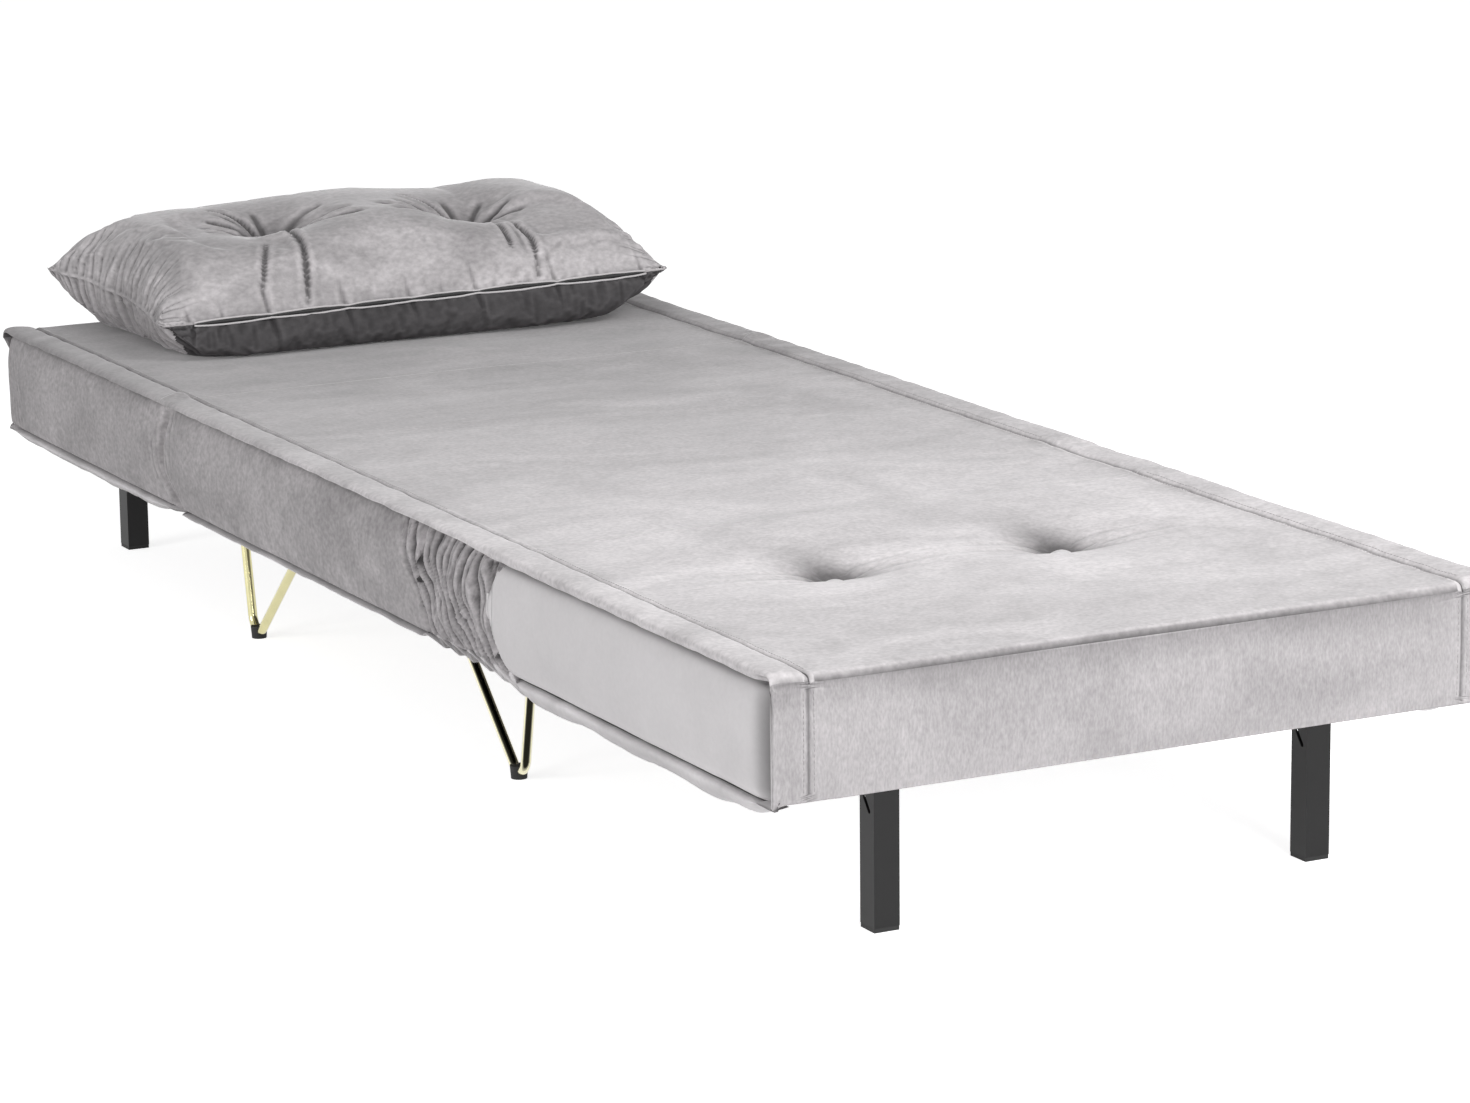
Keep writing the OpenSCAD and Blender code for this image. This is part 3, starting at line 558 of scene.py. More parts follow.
@dataclass
class BedShape:
    """Cross section and soft relief that all the covers share.

    A place on the half outline is counted in control points, from 0 in the middle of
    the underside to 31 in the middle of the top.
    """

    half_w: float
    under: float
    top: float
    front_end: float
    back_end: float
    flip_y: float
    seat_end: float
    back_start: float
    cloth: float
    tuft_x: float
    tuft_y: float
    sag: float = 27.0
    front_sag: float = 0.72
    seat_sag: float = 0.3
    sag_stops: float = 16.0
    bulge: float = 4.0
    flange_w: float = 36.0
    flange_lift: float = 6.0
    round_r: float = 8.0
    tuft_depth: float = 18.0
    tuft_r: float = 9.0
    gather_depth: float = 14.0
    gather_folds: float = 8.5
    gather_from: float = 178.0
    gather_slant: float = 62.0
    pale_from: float = 383.0
    pale_bend_z: float = 205.0

    def joint_gap(self, y: Array, *joints: float) -> Array:
        """Distance from each station to the nearest of the joints."""
        return np.min(np.abs(y[:, None] - np.array(joints)[None, :]), axis=1)

    def sag_at(self, y: Array) -> Array:
        """How far the slack underside hangs at each station.

        Args:
            y: stations along the bed.

        Returns:
            The hang below the underside in millimetres.
        """
        reach = self.joint_gap(y, self.front_end, self.flip_y)
        reach = np.minimum(reach, np.maximum(self.back_end - y - self.sag_stops, 0))
        behind = self.seat_sag + (1 - self.seat_sag) * smooth((y - 330) / 110)
        share = np.where(y < self.flip_y, self.front_sag, behind)
        return self.sag * share * smooth(reach / 60) * (1 + 0.16 * line_noise(y, 75.0, 3.0))

    def controls(self, y: Array) -> tuple[Array, list[int]]:
        """Control points of the half outline, from the middle of the underside up.

        Args:
            y: stations along the bed.

        Returns:
            Array of shape (stations, points, 2) with X and Z, and the steps from each
            point to the next.
        """
        sag = self.sag_at(y)
        joints = self.front_end, self.flip_y, self.back_end
        bulge = self.bulge * smooth(self.joint_gap(y, *joints) / 70)
        w, u, t = self.half_w, self.under, self.top
        inner = w - self.flange_w
        thin = self.flange_lift * (1 - smooth((y - 290) / 120))
        rows = [
            (0, u, 6),
            (180, u, 6),
            (w - 74, u, 3),
            (w - 61, u - 0.35 * sag, 4),
            (w - 46, u - 0.8 * sag, 5),
            (w - 27, u - sag, 5),
            (w - 11, u - 0.72 * sag, 4),
            (w - 4, u - 3 - 0.3 * sag, 3),
            (w - 3.5, u - 4.5, 3),
            (w - 13, u - 2.5, 3),
            (w - 7, u, 4),
            (w - 4 + bulge * 0.5, u + 8, 9),
            (w - 3 + bulge, u + 40, 9),
            (w - 2.5 + bulge, u + 62, 9),
            (w - 4 + bulge * 0.6, u + 86, 6),
            (w - 8, t - 16 + thin, 4),
            (w - 19, t - 12 + thin, 3),
            (w - 14, t - 9.5 + thin, 3),
            (w - 4, t - 9.6 + thin, 4),
            (w + 0.5, t - 7 + 0.6 * thin, 3),
            (w + 1.5, t - 3, 3),
            (w - 1, t + 0.8, 4),
            (w - 10, t + 2.2, 6),
            (w - 25, t + 1.6, 6),
            (inner + 4.5, t + 0.2, 3),
            (inner, t - 3.2, 3),
            (inner - 4.5, t - 1.2, 4),
            (inner - 16, self.crown(w - 59) + 0.3, 9),
            (250, self.crown(250), 12),
            (170, self.crown(170), 13),
            (90, self.crown(90), 12),
            (0, self.crown(0), 0),
        ]
        points = [np.stack([part + 0.0 * y for part in row[:2]], -1) for row in rows]
        return np.stack(points, 1), [row[2] for row in rows]

    def crown(self, x: float) -> float:
        """Height of the gently crowned top at a distance from the middle."""
        return self.cloth + 1.6 * (1 - x / self.half_w)

    def half(self, y: Array) -> tuple[Array, Array]:
        """Smooth half outline at each station.

        Args:
            y: stations along the bed.

        Returns:
            Array of shape (stations, samples, 2), and the place of each sample.
        """
        points, steps = self.controls(y)
        last = points.shape[1] - 1
        samples, places = [], []
        for i in range(last):
            a, b = points[:, max(i - 1, 0)], points[:, i]
            c, d = points[:, i + 1], points[:, min(i + 2, last)]
            for k in range(steps[i]):
                s = k / steps[i]
                bend = (2 * a - 5 * b + 4 * c - d) * s * s + (3 * b - a - 3 * c + d) * s ** 3
                samples.append(0.5 * (2 * b + (c - a) * s + bend))
                places.append(i + s)
        samples.append(points[:, last])
        places.append(float(last))
        return np.stack(samples, 1), np.array(places)

    def gather_start(self, z: Array) -> Array:
        """Where the seat's smooth side panel gives way to the gathers, at each height."""
        return self.gather_from + self.gather_slant * smooth((250 - z) / 100)

    def gather_end(self, z: Array) -> Array:
        """Where the pale panel of the tufted section begins, at each height."""
        rise = z - self.pale_bend_z
        return self.pale_from + np.where(rise > 0, 26 * (rise / 46) ** 2, 40 * (rise / 57) ** 2)

    def relief(self, ring: Array, places: Array) -> Array:
        """Move the points of the covers to their photographed soft form.

        Args:
            ring: points of shape (stations, samples, 3) on one half.
            places: place of each sample on the half outline.

        Returns:
            The moved points.
        """
        flat = ring.reshape(-1, 3)
        x, y, z = flat.T.copy()
        p = np.broadcast_to(places, ring.shape[:2]).reshape(-1)
        side = np.sign(x + 1e-9)
        patterned = flat.copy()
        patterned[:, 0] = np.where(p > TOP_FROM, flat[:, 0], np.sign(flat[:, 0]) * 400)
        swell = cloth_noise(patterned, (400.0, 85.0, 60.0), 1.0)

        start, stop = self.gather_start(z), self.gather_end(z)
        inside = smooth((y - start + 24) / 38) * (1 - smooth((y - stop) / 5))
        warp = cloth_noise(patterned, (400.0, 60.0, 38.0), 5.0)
        x += side * window(p, *PANEL) * self.panel(
            patterned, y, z, inside, (y - start) / np.maximum(stop - start, 1), warp, swell)

        on_slack = window(p, *SLACK)
        hem = inside * on_slack
        zigzag = np.abs(((y / 33 + 0.3 * warp) % 1) * 2 - 1) * 2 - 1
        x += side * hem * (8.0 * zigzag - 5.0)
        z += hem * (9.5 * zigzag + 1.0)
        drape = cloth_noise(patterned, (400.0, 46.0, 400.0), 6.0)
        drape += 0.5 * cloth_noise(patterned, (400.0, 20.0, 60.0), 14.0)
        z += on_slack * (1 - inside) * 3.0 * drape
        x += side * on_slack * (1 - inside) * 2.6 * drape

        on_flange = window(p, *FLANGE)
        slanted = patterned.copy()
        slanted[:, 1] = y + 0.9 * (self.half_w - np.abs(x))
        x += side * on_flange * 0.9 * swell
        z += on_flange * (0.9 * swell + 1.0 * cloth_noise(slanted, (400.0, 24.0, 400.0), 7.0))

        z += smooth((p - TOP_FROM) / 2.0) * self.top_relief(flat, x, y)
        hinge = bell(y - self.flip_y, 11) * bell(np.abs(x) - 350, 13)
        z += smooth((p - 18.5) / 1.5) * 4.6 * hinge
        return np.stack([x, y, z], -1).reshape(ring.shape)

    def panel(
        self, patterned: Array, y: Array, z: Array, inside: Array, share: Array, warp: Array,
        swell: Array,
    ) -> Array:
        """How far the side panel stands out: its gathers, its swell and the pull at the joints.

        Args:
            patterned: points at which the patterns are read.
            y: place of each point along the bed.
            z: height of each point.
            inside: 1 within the gathers and 0 outside.
            share: share of the way through the gathers.
            warp: pattern that bends the folds.
            swell: broad pattern of the whole side.

        Returns:
            The distance outwards in millimetres.
        """
        ripple = cloth_noise(patterned, (400.0, 22.0, 70.0), 2.0)
        phase = self.gather_folds * np.clip(share, -0.2, 1.2) + 1.0 * warp + 0.35 * swell
        fine = ridges(phase * 2.3 + 0.9 * swell, 0.6)
        deep = 0.8 + 0.6 * cloth_noise(patterned, (400.0, 40.0, 120.0), 8.0)
        crumple = cloth_noise(patterned, (400.0, 13.0, 21.0), 15.0)
        folds = 11.0 * ridges(phase) * deep + 3.6 * fine + 3.0 * crumple
        gathers = -self.gather_depth * inside * np.tanh(folds / self.gather_depth)
        joint = bell(y - self.flip_y, 34) + 0.6 * bell(y - self.front_end - 30, 26)
        pulled = ridges(y / 12.5 + 0.012 * (z - 200) + 0.8 * swell)
        puff = 1.6 * swell + 0.5 * ripple * (1 - inside)
        return gathers + puff - (1 - inside) * joint * 3.2 * pulled * (0.7 + ripple)

    def top_relief(self, flat: Array, x: Array, y: Array) -> Array:
        """Height of the top's soft waves, its two tufts and the creases between them.

        Args:
            flat: points at which the patterns are read.
            x: place of each point across the bed.
            y: place of each point along the bed.

        Returns:
            The height in millimetres.
        """
        broad = cloth_noise(flat, (240.0, 150.0, 400.0), 9.0)
        small = cloth_noise(flat, (150.0, 34.0, 400.0), 10.0)
        height = (2.4 * broad + 0.7 * small) * smooth((self.half_w - np.abs(x) - 30) / 60)
        beside, behind = np.abs(x) - self.tuft_x, y - self.tuft_y
        r = np.hypot(beside, behind * np.where(behind > 0, 1.5, 0.9))
        turn = np.arctan2(behind, beside)
        crease = np.abs(np.sin(4.5 * turn + 0.7 + 0.5 * np.sin(2 * turn))) ** 0.5
        slope = np.exp(-np.maximum(r - self.tuft_r, 0) / 21)
        height -= (self.tuft_depth - 2) * slope + 5 * bell(r, 90)
        height -= (1 - crease) * 4.4 * bell(r - 28, 24)
        drag = bell(behind - 4, 6) + 0.8 * bell(behind + 22, 5) + 0.7 * bell(behind - 24, 6)
        return height - drag * 2.4 * bell(r, 105) * (1 - bell(r, 26))

    def free_end(self, ring: Array, places: Array, end: float, inward: float) -> Array:
        """Round the free end and turn the strip down over its corners.

        Args:
            ring: points of the right half.
            places: place of each sample on the half outline.
            end: the end's own place along the bed.
            inward: 1 or -1, the way into the section.

        Returns:
            The moved points.
        """
        x, y, z = ring[..., 0], ring[..., 1], ring[..., 2]
        depth = (y - end) * inward
        p = np.broadcast_to(places, x.shape)
        on_side = window(p, *END_SIDE)
        strip = 1.0 if inward < 0 else 0.0
        x = x - on_side * (1.0 + 5.5 * strip) * (1 - smooth((depth - 10) / 34)) ** 1.6
        lip = strip * on_side * (1 - smooth((depth - 3.2) / 1.2))
        x = x * (1 - lip) + lip * (self.half_w - 0.5)
        t = np.clip(depth / self.round_r, 0, 1)
        drop = self.round_r * (1 - np.sqrt(np.clip(1 - (1 - t) ** 2, 0, 1)))
        rise = np.clip((z - self.under) / (self.top - self.under), 0, 1.05)
        return np.stack([x, y, z - drop * rise ** 3], -1)

    def joint_end(self, ring: Array, joint: float) -> Array:
        """Let the seat's side panel swell over the flip joint and round its lower corner.

        Args:
            ring: points of the right half.
            joint: place of the flip joint along the bed.

        Returns:
            The moved points.
        """
        x, y, z = ring[..., 0].copy(), ring[..., 1].copy(), ring[..., 2]
        near = 1 - smooth(np.abs(y - joint) / 55)
        rise = (z - self.under) / (self.top - self.under)
        line = -16 * np.sin(np.clip(rise * 1.15, 0, 1) * np.pi) + 42 * (1 - smooth(rise / 0.35))
        outer = smooth((np.abs(x) - 300) / 50) * np.where(rise < 0.85, 1.0, 0.0)
        y += near * outer * line * (1 - smooth((rise - 0.7) / 0.15))
        groove = 7 * bell(np.abs(ring[..., 1] - joint), 7) * smooth((np.abs(x) - 340) / 12)
        x -= np.sign(x) * groove * (1 - smooth((rise - 0.86) / 0.06))
        return np.stack([x, y, z], -1)


class Slot(IntEnum):
    """Material slots of a cover."""

    TOP = 0
    SIDE = 1
    GATHERED = 2
    PALE = 3
    END = 4
    SLACK = 5
    # Faces in painted shade.
    SEAM = 6


@dataclass
class Cover:
    """Cover of one section, or the gathered cloth between two of them."""

    name: str
    shape: BedShape
    y0: float
    y1: float
    finishes: Finishes
    fine: list[tuple[float, float]]
    free: int = 0
    capped: bool = True
    step: float = 6.5
    fine_step: float = 2.4

    @property
    def end(self) -> float:
        """Place of the free end along the bed."""
        return self.y1 if self.free > 0 else self.y0

    def stations(self) -> Array:
        """Stations along the cover, closer together in the fine ranges.

        Returns:
            The stations in millimetres.
        """
        stations = [self.y0]
        while stations[-1] < self.y1 - 0.5:
            y = stations[-1]
            near = any(a - self.step < y < b for a, b in self.fine)
            stations.append(min(y + (self.fine_step if near else self.step), self.y1))
        return np.array(stations)

    def rings(self) -> tuple[Array, Array]:
        """Closed rings of the cover and the place of each sample.

        Returns:
            Array of shape (stations, samples, 3), and the place of each sample.
        """
        y = self.stations()
        half, places = self.shape.half(y)
        ys = np.repeat(y[:, None], half.shape[1], 1)
        sides = []
        for sign in (1.0, -1.0):
            ring = np.stack([sign * half[..., 0], ys, half[..., 1]], -1)
            moved = self.shape.relief(ring, places)
            moved[..., 0] *= sign
            if self.free:
                moved = self.shape.free_end(moved, places, self.end, -self.free)
            moved = self.shape.joint_end(moved, self.shape.flip_y)
            moved[..., 0] *= sign
            sides.append(moved)
        right, left = sides
        middle = (right[:, -1:] + left[:, -1:]) / 2
        full = np.concatenate([right[:, :-1], middle, left[:, -2:0:-1]], 1)
        return full, np.concatenate([places, places[-2:0:-1]])

    def slot_of(self, y: float, z: float, p: float) -> Slot:
        """Material slot of a face from its middle and its place on the outline.

        Args:
            y: place of its middle along the bed.
            z: height of its middle.
            p: its place on the half outline.

        Returns:
            The slot.
        """
        gathered = y > self.shape.gather_start(z)
        # These faces take the near-black velvet as painted shade: behind the strip, along the hem,
        # under the flange and in the flange seam.
        behind_strip = self.free > 0 and 9 < p < 16 and 3.2 < self.y1 - y < 15
        hem = 8.5 < p < 9.4 if gathered else 8.7 < p < 9.1
        under_flange, welt = 15.4 < p < 16.9, 24.9 < p < 25.2
        if behind_strip or hem or under_flange or welt:
            return Slot.SEAM
        if p > PANEL_TO:
            return Slot.TOP
        if p < UNDERSIDE_TO:
            return Slot.SIDE
        if p < SLACK_TO:
            return Slot.SLACK
        if y > self.shape.gather_end(z):
            return Slot.PALE
        return Slot.GATHERED if gathered else Slot.SIDE

    def build(self) -> Object:
        """Build the cover's mesh.

        Returns:
            The cover, with its fold values stored.
        """
        rings, places = self.rings()
        rows, count = rings.shape[:2]
        verts, faces, slots = [rings.reshape(-1, 3)], [], []
        for k in range(rows - 1):
            here, after = k * count, (k + 1) * count
            for i in range(count):
                j = (i + 1) % count
                faces.append([here + i, after + i, after + j, here + j])
                mid = (rings[k, i] + rings[k + 1, j]) / 2
                slots.append(self.slot_of(mid[1], mid[2], min(places[i], places[j])))
        if self.capped:
            base = rows * count
            for row, outward in ((0, -1.0), (rows - 1, 1.0)):
                free = self.free == outward
                cap, cap_faces = self.cap(rings[row], places, row * count, base, outward, free)
                verts.append(cap)
                base += len(cap)
                faces.extend(cap_faces)
                slots.extend([Slot.END if free else Slot.SIDE] * len(cap_faces))
        points = np.concatenate(verts)
        f = self.finishes
        materials = [f.top, f.side, f.gathered, f.pale, f.end, f.slack, f.seam]
        obj = mesh_object(self.name, points, faces, materials, slots)
        across = np.concatenate([np.tile(places, rows), np.zeros(len(points) - rows * count)])
        store_fold_shade(obj, self.folds(obj, points, across, rows, count))
        return obj

    def folds(self, obj: Object, points: Array, across: Array, rows: int, count: int) -> Array:
        """Fold values of the cover.

        They are steady across the joints, with painted shade inside the tufts, under the flange,
        behind the strip and along the end's edges.

        Args:
            obj: the cover.
            points: its points.
            across: place of each point on the outline.
            rows: number of rings.
            count: number of points in a ring.

        Returns:
            The fold value of each point.
        """
        shape = self.shape
        values = fold_values(obj, 12.0)
        if self.free >= 0:
            values[:3 * count] = np.tile(values[3 * count:4 * count], 3)
        if self.free <= 0:
            last = (rows - 4) * count
            values[last + count:rows * count] = np.tile(values[last:last + count], 3)
        x, y, z = np.abs(points[:, 0]), points[:, 1], points[:, 2]
        r = np.hypot(x - shape.tuft_x, y - shape.tuft_y)
        back = np.hypot(x - shape.tuft_x, (y - shape.tuft_y + 30) / 1.7)
        # deep holds painted shade, first in the tuft hollows.
        deep = (0.85 * bell(r, 24) + 0.75 * bell(back, 34)) * (z > shape.top - 50)
        panel = window(across, *PANEL_FACE)
        gathered = smooth((y - shape.gather_start(z)) / 10)
        gathered *= 1 - smooth((y - shape.gather_end(z)) / 4)
        gathered = np.maximum(gathered, 0.8 * bell(y - shape.flip_y, 40))
        # Painted fold shade is made stronger in the gathers and weaker round the tufts.
        values = values * (1 + 1.4 * panel * gathered)
        values = values * (1 - 0.85 * bell(r, 55) * (across > TOP_FROM))
        # Painted shadow under the flange.
        deep += 0.8 * bell(across - 15.3, 0.45)
        if self.free > 0:
            # Painted shade in the groove behind the strip.
            deep += 0.95 * panel * (1 - smooth((self.y1 - y - 8) / 40))
        if self.free:
            on_end = bell(np.abs(y - self.end), 5.0)
            below = shape.top - shape.round_r - z
            seam = x - (shape.half_w - shape.flange_w)
            # Painted shade below the end's rounded top edge, and in the seam groove with painted
            # highlight beside it.
            edge = 0.7 * bell(below + 2.5, 4.5) + 0.4 * smooth(1 - below / 34) * (below > 0)
            seam_shade_and_highlight = (0.9 * bell(seam, 1.8) - 0.5 * bell(np.abs(seam) - 4, 2.0)) * (below > 0)
            deep += on_end * edge
            deep += on_end * seam_shade_and_highlight
        return values - deep

    def cap(
        self, ring: Array, places: Array, first: int, base: int, outward: float, free: bool
    ) -> tuple[Array, list]:
        """Close one end with rings that shrink towards its middle.

        Args:
            ring: points of the end ring.
            places: place of each point on the outline.
            first: number of the ring's first point.
            base: number that the cap's first new point gets.
            outward: 1 or -1, the way out of the section.
            free: True for an end face that shows.

        Returns:
            The new points and the faces.
        """
        shape = self.shape
        middle = (shape.under + shape.top) / 2
        centre = np.array([0.0, ring[:, 1].mean(), middle])
        seam = 1 - shape.flange_w / shape.half_w
        plain = ring.copy()
        side = np.sign(ring[:, 0])
        if free:
            low, high = shape.under + 1.0, ring[:, 2].max() - 3.0
            rise = np.interp(places, [0, 8, 20.5, 22.5, 31], [0, 0.02, 0.96, 1, 1])
            plain[:, 2] = low + (high - low) * rise
            edge = (places > 7.5) & (places < 22)
            plain[edge, 0] = side[edge] * (shape.half_w - 0.5)
            scales = [0.992, 0.975, 0.95, 0.925]
            scales += [seam + gap for gap in (0.014, 0.006, 0, -0.006, -0.014)]
            scales += [0.84, 0.78, 0.7, 0.6, 0.5, 0.4, 0.3, 0.2, 0.1]
        else:
            plain[:, 0] = side * np.minimum(np.abs(ring[:, 0]), shape.half_w - 28)
            plain[:, 2] = np.clip(ring[:, 2], shape.under + 6, shape.top - 6)
            scales = [1.0, 0.5]
        count = len(ring)
        points, faces = [], []
        previous = first
        for n, scale in enumerate(scales):
            outline = (plain + ring) / 2 if free and not n else plain
            layer = centre + (outline - centre) * scale
            if free:
                across = np.abs(layer[:, 0])
                height = (layer[:, 2] - middle) / (shape.top - shape.under) * 2
                crown = np.clip(1 - (across / shape.half_w) ** 4, 0, 1)
                crown = crown * np.clip(1 - height ** 2, 0, 1)
                puff = 2.2 + 1.2 * cloth_noise(layer, (160.0, 400.0, 60.0), 12.0)
                layer[:, 1] = ring[:, 1] + outward * crown * puff
                layer[:, 1] -= outward * 1.6 * bell(across - seam * shape.half_w, 2.6)
            points.append(layer)
            here = base + n * count
            faces += ring_faces(previous, here, count)
            previous = here
        points.append(centre[None] + np.array([[0, outward * 2.2 if free else 0, 0]]))
        tip = base + len(scales) * count
        faces += [[previous + i, previous + (i + 1) % count, tip] for i in range(count)]
        return np.concatenate(points), faces if outward < 0 else [f[::-1] for f in faces]


@dataclass
class Stitches:
    """Rows of lockstitch beside the seams."""

    material: Material
    pitch: float = 5.0
    length: float = 3.2
    width: float = 0.6
    height: float = 0.35
    buried: float = 0.4
    ray_m: float = 0.08

    def row(self, name: str, start: Vector, end: Vector, drop: Vector, surface: BVHTree) -> Object:
        """Lay one row of stitches on a surface.

        Args:
            name: name of the piece.
            start: first point of the row in metres, above the surface.
            end: last point of the row in metres.
            drop: direction towards the surface.
            surface: the cover's surface.

        Returns:
            The row of stitches.
        """
        run = end - start
        along = run.normalized()
        verts, faces = [], []
        for k in range(int(run.length / (self.pitch * MM))):
            ends = []
            for offset in (0.0, self.length):
                origin = start + along * (k * self.pitch + offset) * MM
                place, normal, *_ = surface.ray_cast(origin, drop, self.ray_m)
                if place is not None:
                    ends.append((place / MM, normal))
            if len(ends) < 2:
                continue
            base = len(verts)
            for place, normal in ends:
                across = normal.cross(along).normalized() * self.width / 2
                low, high = place - normal * self.buried, place + normal * self.height
                verts += [low - across, low + across, high + across * 0.6, high - across * 0.6]
            faces += ring_faces(base, base + 4, 4)
            faces += [[base + n for n in end] for end in ((3, 2, 1, 0), (4, 5, 6, 7))]
        return mesh_object(name, verts, faces, [self.material])


@dataclass
class Pillow:
    """Loose tufted pillow with a knife edge and a zip opening along its front.

    Places on it are u along its length and v across its depth, both from -1 to 1, and
    each share of the zip runs from 0 to 1 from its +X end.
    """

    finishes: Finishes
    length: float
    depth: float
    height: float
    centre: Vector
    seam_front: tuple[float, float] = (50.0, 39.0)
    seam_back: tuple[float, float] = (66.0, 60.0)
    crest: float = -0.3
    crest_stations: tuple[float, ...] = (
        -0.95, -0.8, -0.62, -0.45, -0.28, -0.1, 0.1, 0.3, 0.5, 0.7, 0.88)
    crest_heights: tuple[float, ...] = (
        136.0, 149.0, 138.0, 126.5, 131.0, 136.0, 134.5, 130.5, 131.0, 135.0, 148.0)
    crest_scale: float = 150.0
    tufts: tuple[tuple[float, float], ...] = ((0.188, 4.0), (-0.185, 22.0))
    tuft_depth: float = 38.0
    columns: int = 180
    rows: int = 92
    zip_start: float = 0.866
    zip_end: float = -0.893
    zip_length: float = 562.0
    zip_points: int = 161
    zip_pinches: tuple[float, ...] = (0.0, 0.17, 0.335, 0.478, 0.623, 0.8, 1.0)
    cushion_fill: float = 0.8
    puff_limit: float = 4.5
    puff_frames: int = 20
    welt_r: float = 1.1
    tape_r: float = 2.6

    def seam(self, u: Array, v: Array) -> Array:
        """Height of the edge seam above the bed; it rises towards the back and towards -X.

        Args:
            u: place along the length.
            v: place across the depth.

        Returns:
            The height in millimetres.
        """
        share_x = (np.clip(u, -1, 1) + 1) / 2
        share_y = (np.clip(v, -1, 1) + 1) / 2
        front = self.seam_front[0] + (self.seam_front[1] - self.seam_front[0]) * share_x
        back = self.seam_back[0] + (self.seam_back[1] - self.seam_back[0]) * share_x
        return back + (front - back) * share_y + 3.0

    def fill(self, u: Array, v: Array) -> Array:
        """Fullness of the pillow, 0 at its edge and 1 in the middle."""
        w = (v - self.crest) / np.where(v > self.crest, 1 - self.crest, 1 + self.crest)
        return dome(u, 4) * dome(w, np.where(v > self.crest, 3.0, 3.6))

    def plan(self, u: Array, v: Array) -> tuple[Array, Array]:
        """Pinched plan outline in millimetres about the centre.

        Args:
            u: place along the length.
            v: place across the depth.

        Returns:
            X and Y of each place.
        """
        x = self.length / 2 * u * (1 - 0.07 * (1 - v ** 2) * np.abs(u) ** 6)
        y = self.depth / 2 * v * (1 - 0.03 * (1 - u ** 2) * np.abs(v) ** 6)
        corner = np.clip(np.abs(u), 0, 1) ** 9 * np.clip(np.abs(v), 0, 1) ** 9
        rear = np.clip(-v, 0, 1)
        x = x - np.sign(u) * 9 * corner + 16 * rear * np.clip(u, 0, 1) ** 2
        x = x - 9 * np.clip(-u, 0, 1) ** 4 * np.clip(v, 0, 1)
        return x, y - np.sign(v) * 9 * corner - 26 * rear

    def local(self, obj: Object) -> tuple[Array, Array, Array, Array]:
        """Points of a pillow mesh about the centre, and their height above the seam."""
        x, y, z = (points_of(obj) / MM - np.array(self.centre)).T
        return x, y, z, z - self.seam(x / (self.length / 2), y / (self.depth / 2))

    def to_tuft(self, x: Array, y: Array) -> Array:
        """Distance to the nearer tuft, in millimetres."""
        gaps = [np.hypot(x - share * self.length, y - shift) for share, shift in self.tufts]
        return np.minimum(*gaps)

    def creases(self, x: Array, y: Array) -> Array:
        """Depth of the folds that run out from the tufts, in millimetres.

        Each fold has its tuft's number, its first angle from the front towards +X in
        degrees, its bend in degrees, its length, depth and width in millimetres, and
        the share of its length before it begins.

        Args:
            x: place of each point about the centre.
            y: place of each point about the centre.

        Returns:
            The depth at each point.
        """
        folds = [
            (0, 24, 2, 158, 6.0, 3.8, 0.42), (0, -10, 32, 152, 9.0, 3.9, 0.12),
            (0, 157, -12, 92, 9.5, 3.8, 0.05), (0, 96, 24, 84, 5.0, 5.0, 0.05),
            (0, 74, 34, 80, 4.5, 5.0, 0.05), (0, 118, 18, 80, 5.0, 4.6, 0.05),
            (0, 138, 10, 66, 4.5, 4.2, 0.05), (0, -58, -30, 118, 5.0, 6.5, 0.05),
            (0, -80, -18, 104, 4.5, 6.0, 0.05), (0, -118, 12, 90, 4.0, 6.0, 0.05),
            (0, 182, 0, 60, 4.0, 4.5, 0.05),
            (1, -18, 30, 118, 8.5, 3.8, 0.05), (1, -44, 62, 142, 9.0, 3.9, 0.05),
            (1, 150, -8, 95, 10.0, 3.8, 0.05), (1, 62, 40, 104, 5.0, 6.0, 0.05),
            (1, 88, 22, 112, 4.5, 6.0, 0.05), (1, 112, 14, 84, 4.5, 5.0, 0.05),
            (1, -70, -20, 76, 4.5, 5.0, 0.05), (1, -100, 0, 70, 4.0, 5.0, 0.05),
            (1, -140, 8, 60, 4.0, 4.5, 0.05), (1, 176, 0, 58, 4.0, 4.5, 0.05),
        ]
        total = np.zeros(x.shape)
        for tuft, first, bend, length, depth, width, begin in folds:
            s = np.linspace(0, 1, 32)
            a = np.radians(first + bend * s)
            pace = length / 31
            share, shift = self.tufts[tuft]
            px = share * self.length + np.cumsum(np.sin(a)) * pace
            py = shift + np.cumsum(np.cos(a)) * pace
            gap = np.hypot(x[:, None] - px, y[:, None] - py)
            nearest = gap.argmin(1)
            d, t = gap[np.arange(len(x)), nearest], s[nearest]
            taper = window(t, begin, 0.15, 0.8, 0.2)
            total += taper * depth * (bell(d, width) - 0.28 * bell(d - 2.1 * width, width))
        return total

    def engrave(self, obj: Object) -> Array:
        """Press the fine folds, end pleats and zip tucks into the relaxed cover.

        Args:
            obj: the cover.

        Returns:
            The depth of the folds from the tufts at each point.
        """
        x, y, z, rise = self.local(obj)
        u, v = x / (self.length / 2), y / (self.depth / 2)
        place = np.stack([x, y, z], -1)
        above = smooth((rise - 2) / 8)
        at_rim = bell(rise, 3.0) * (np.maximum(np.abs(u), np.abs(v)) > 0.9)
        lines = above * self.creases(x, y)
        depth = 0.7 * lines
        wander = cloth_noise(place, (60.0, 44.0, 60.0), 21.0)
        pleat, fine = ridges(y / 17 + 0.8 * wander), ridges(y / 9.5 + 1.1 * wander)
        ends = smooth((np.abs(u) - 0.78) / 0.16)
        depth += ends * (4.6 * pleat + 2.2 * fine) * np.where(rise > 0, 0.7, 1.35)
        s = (self.zip_start - u) / (self.zip_start - self.zip_end)
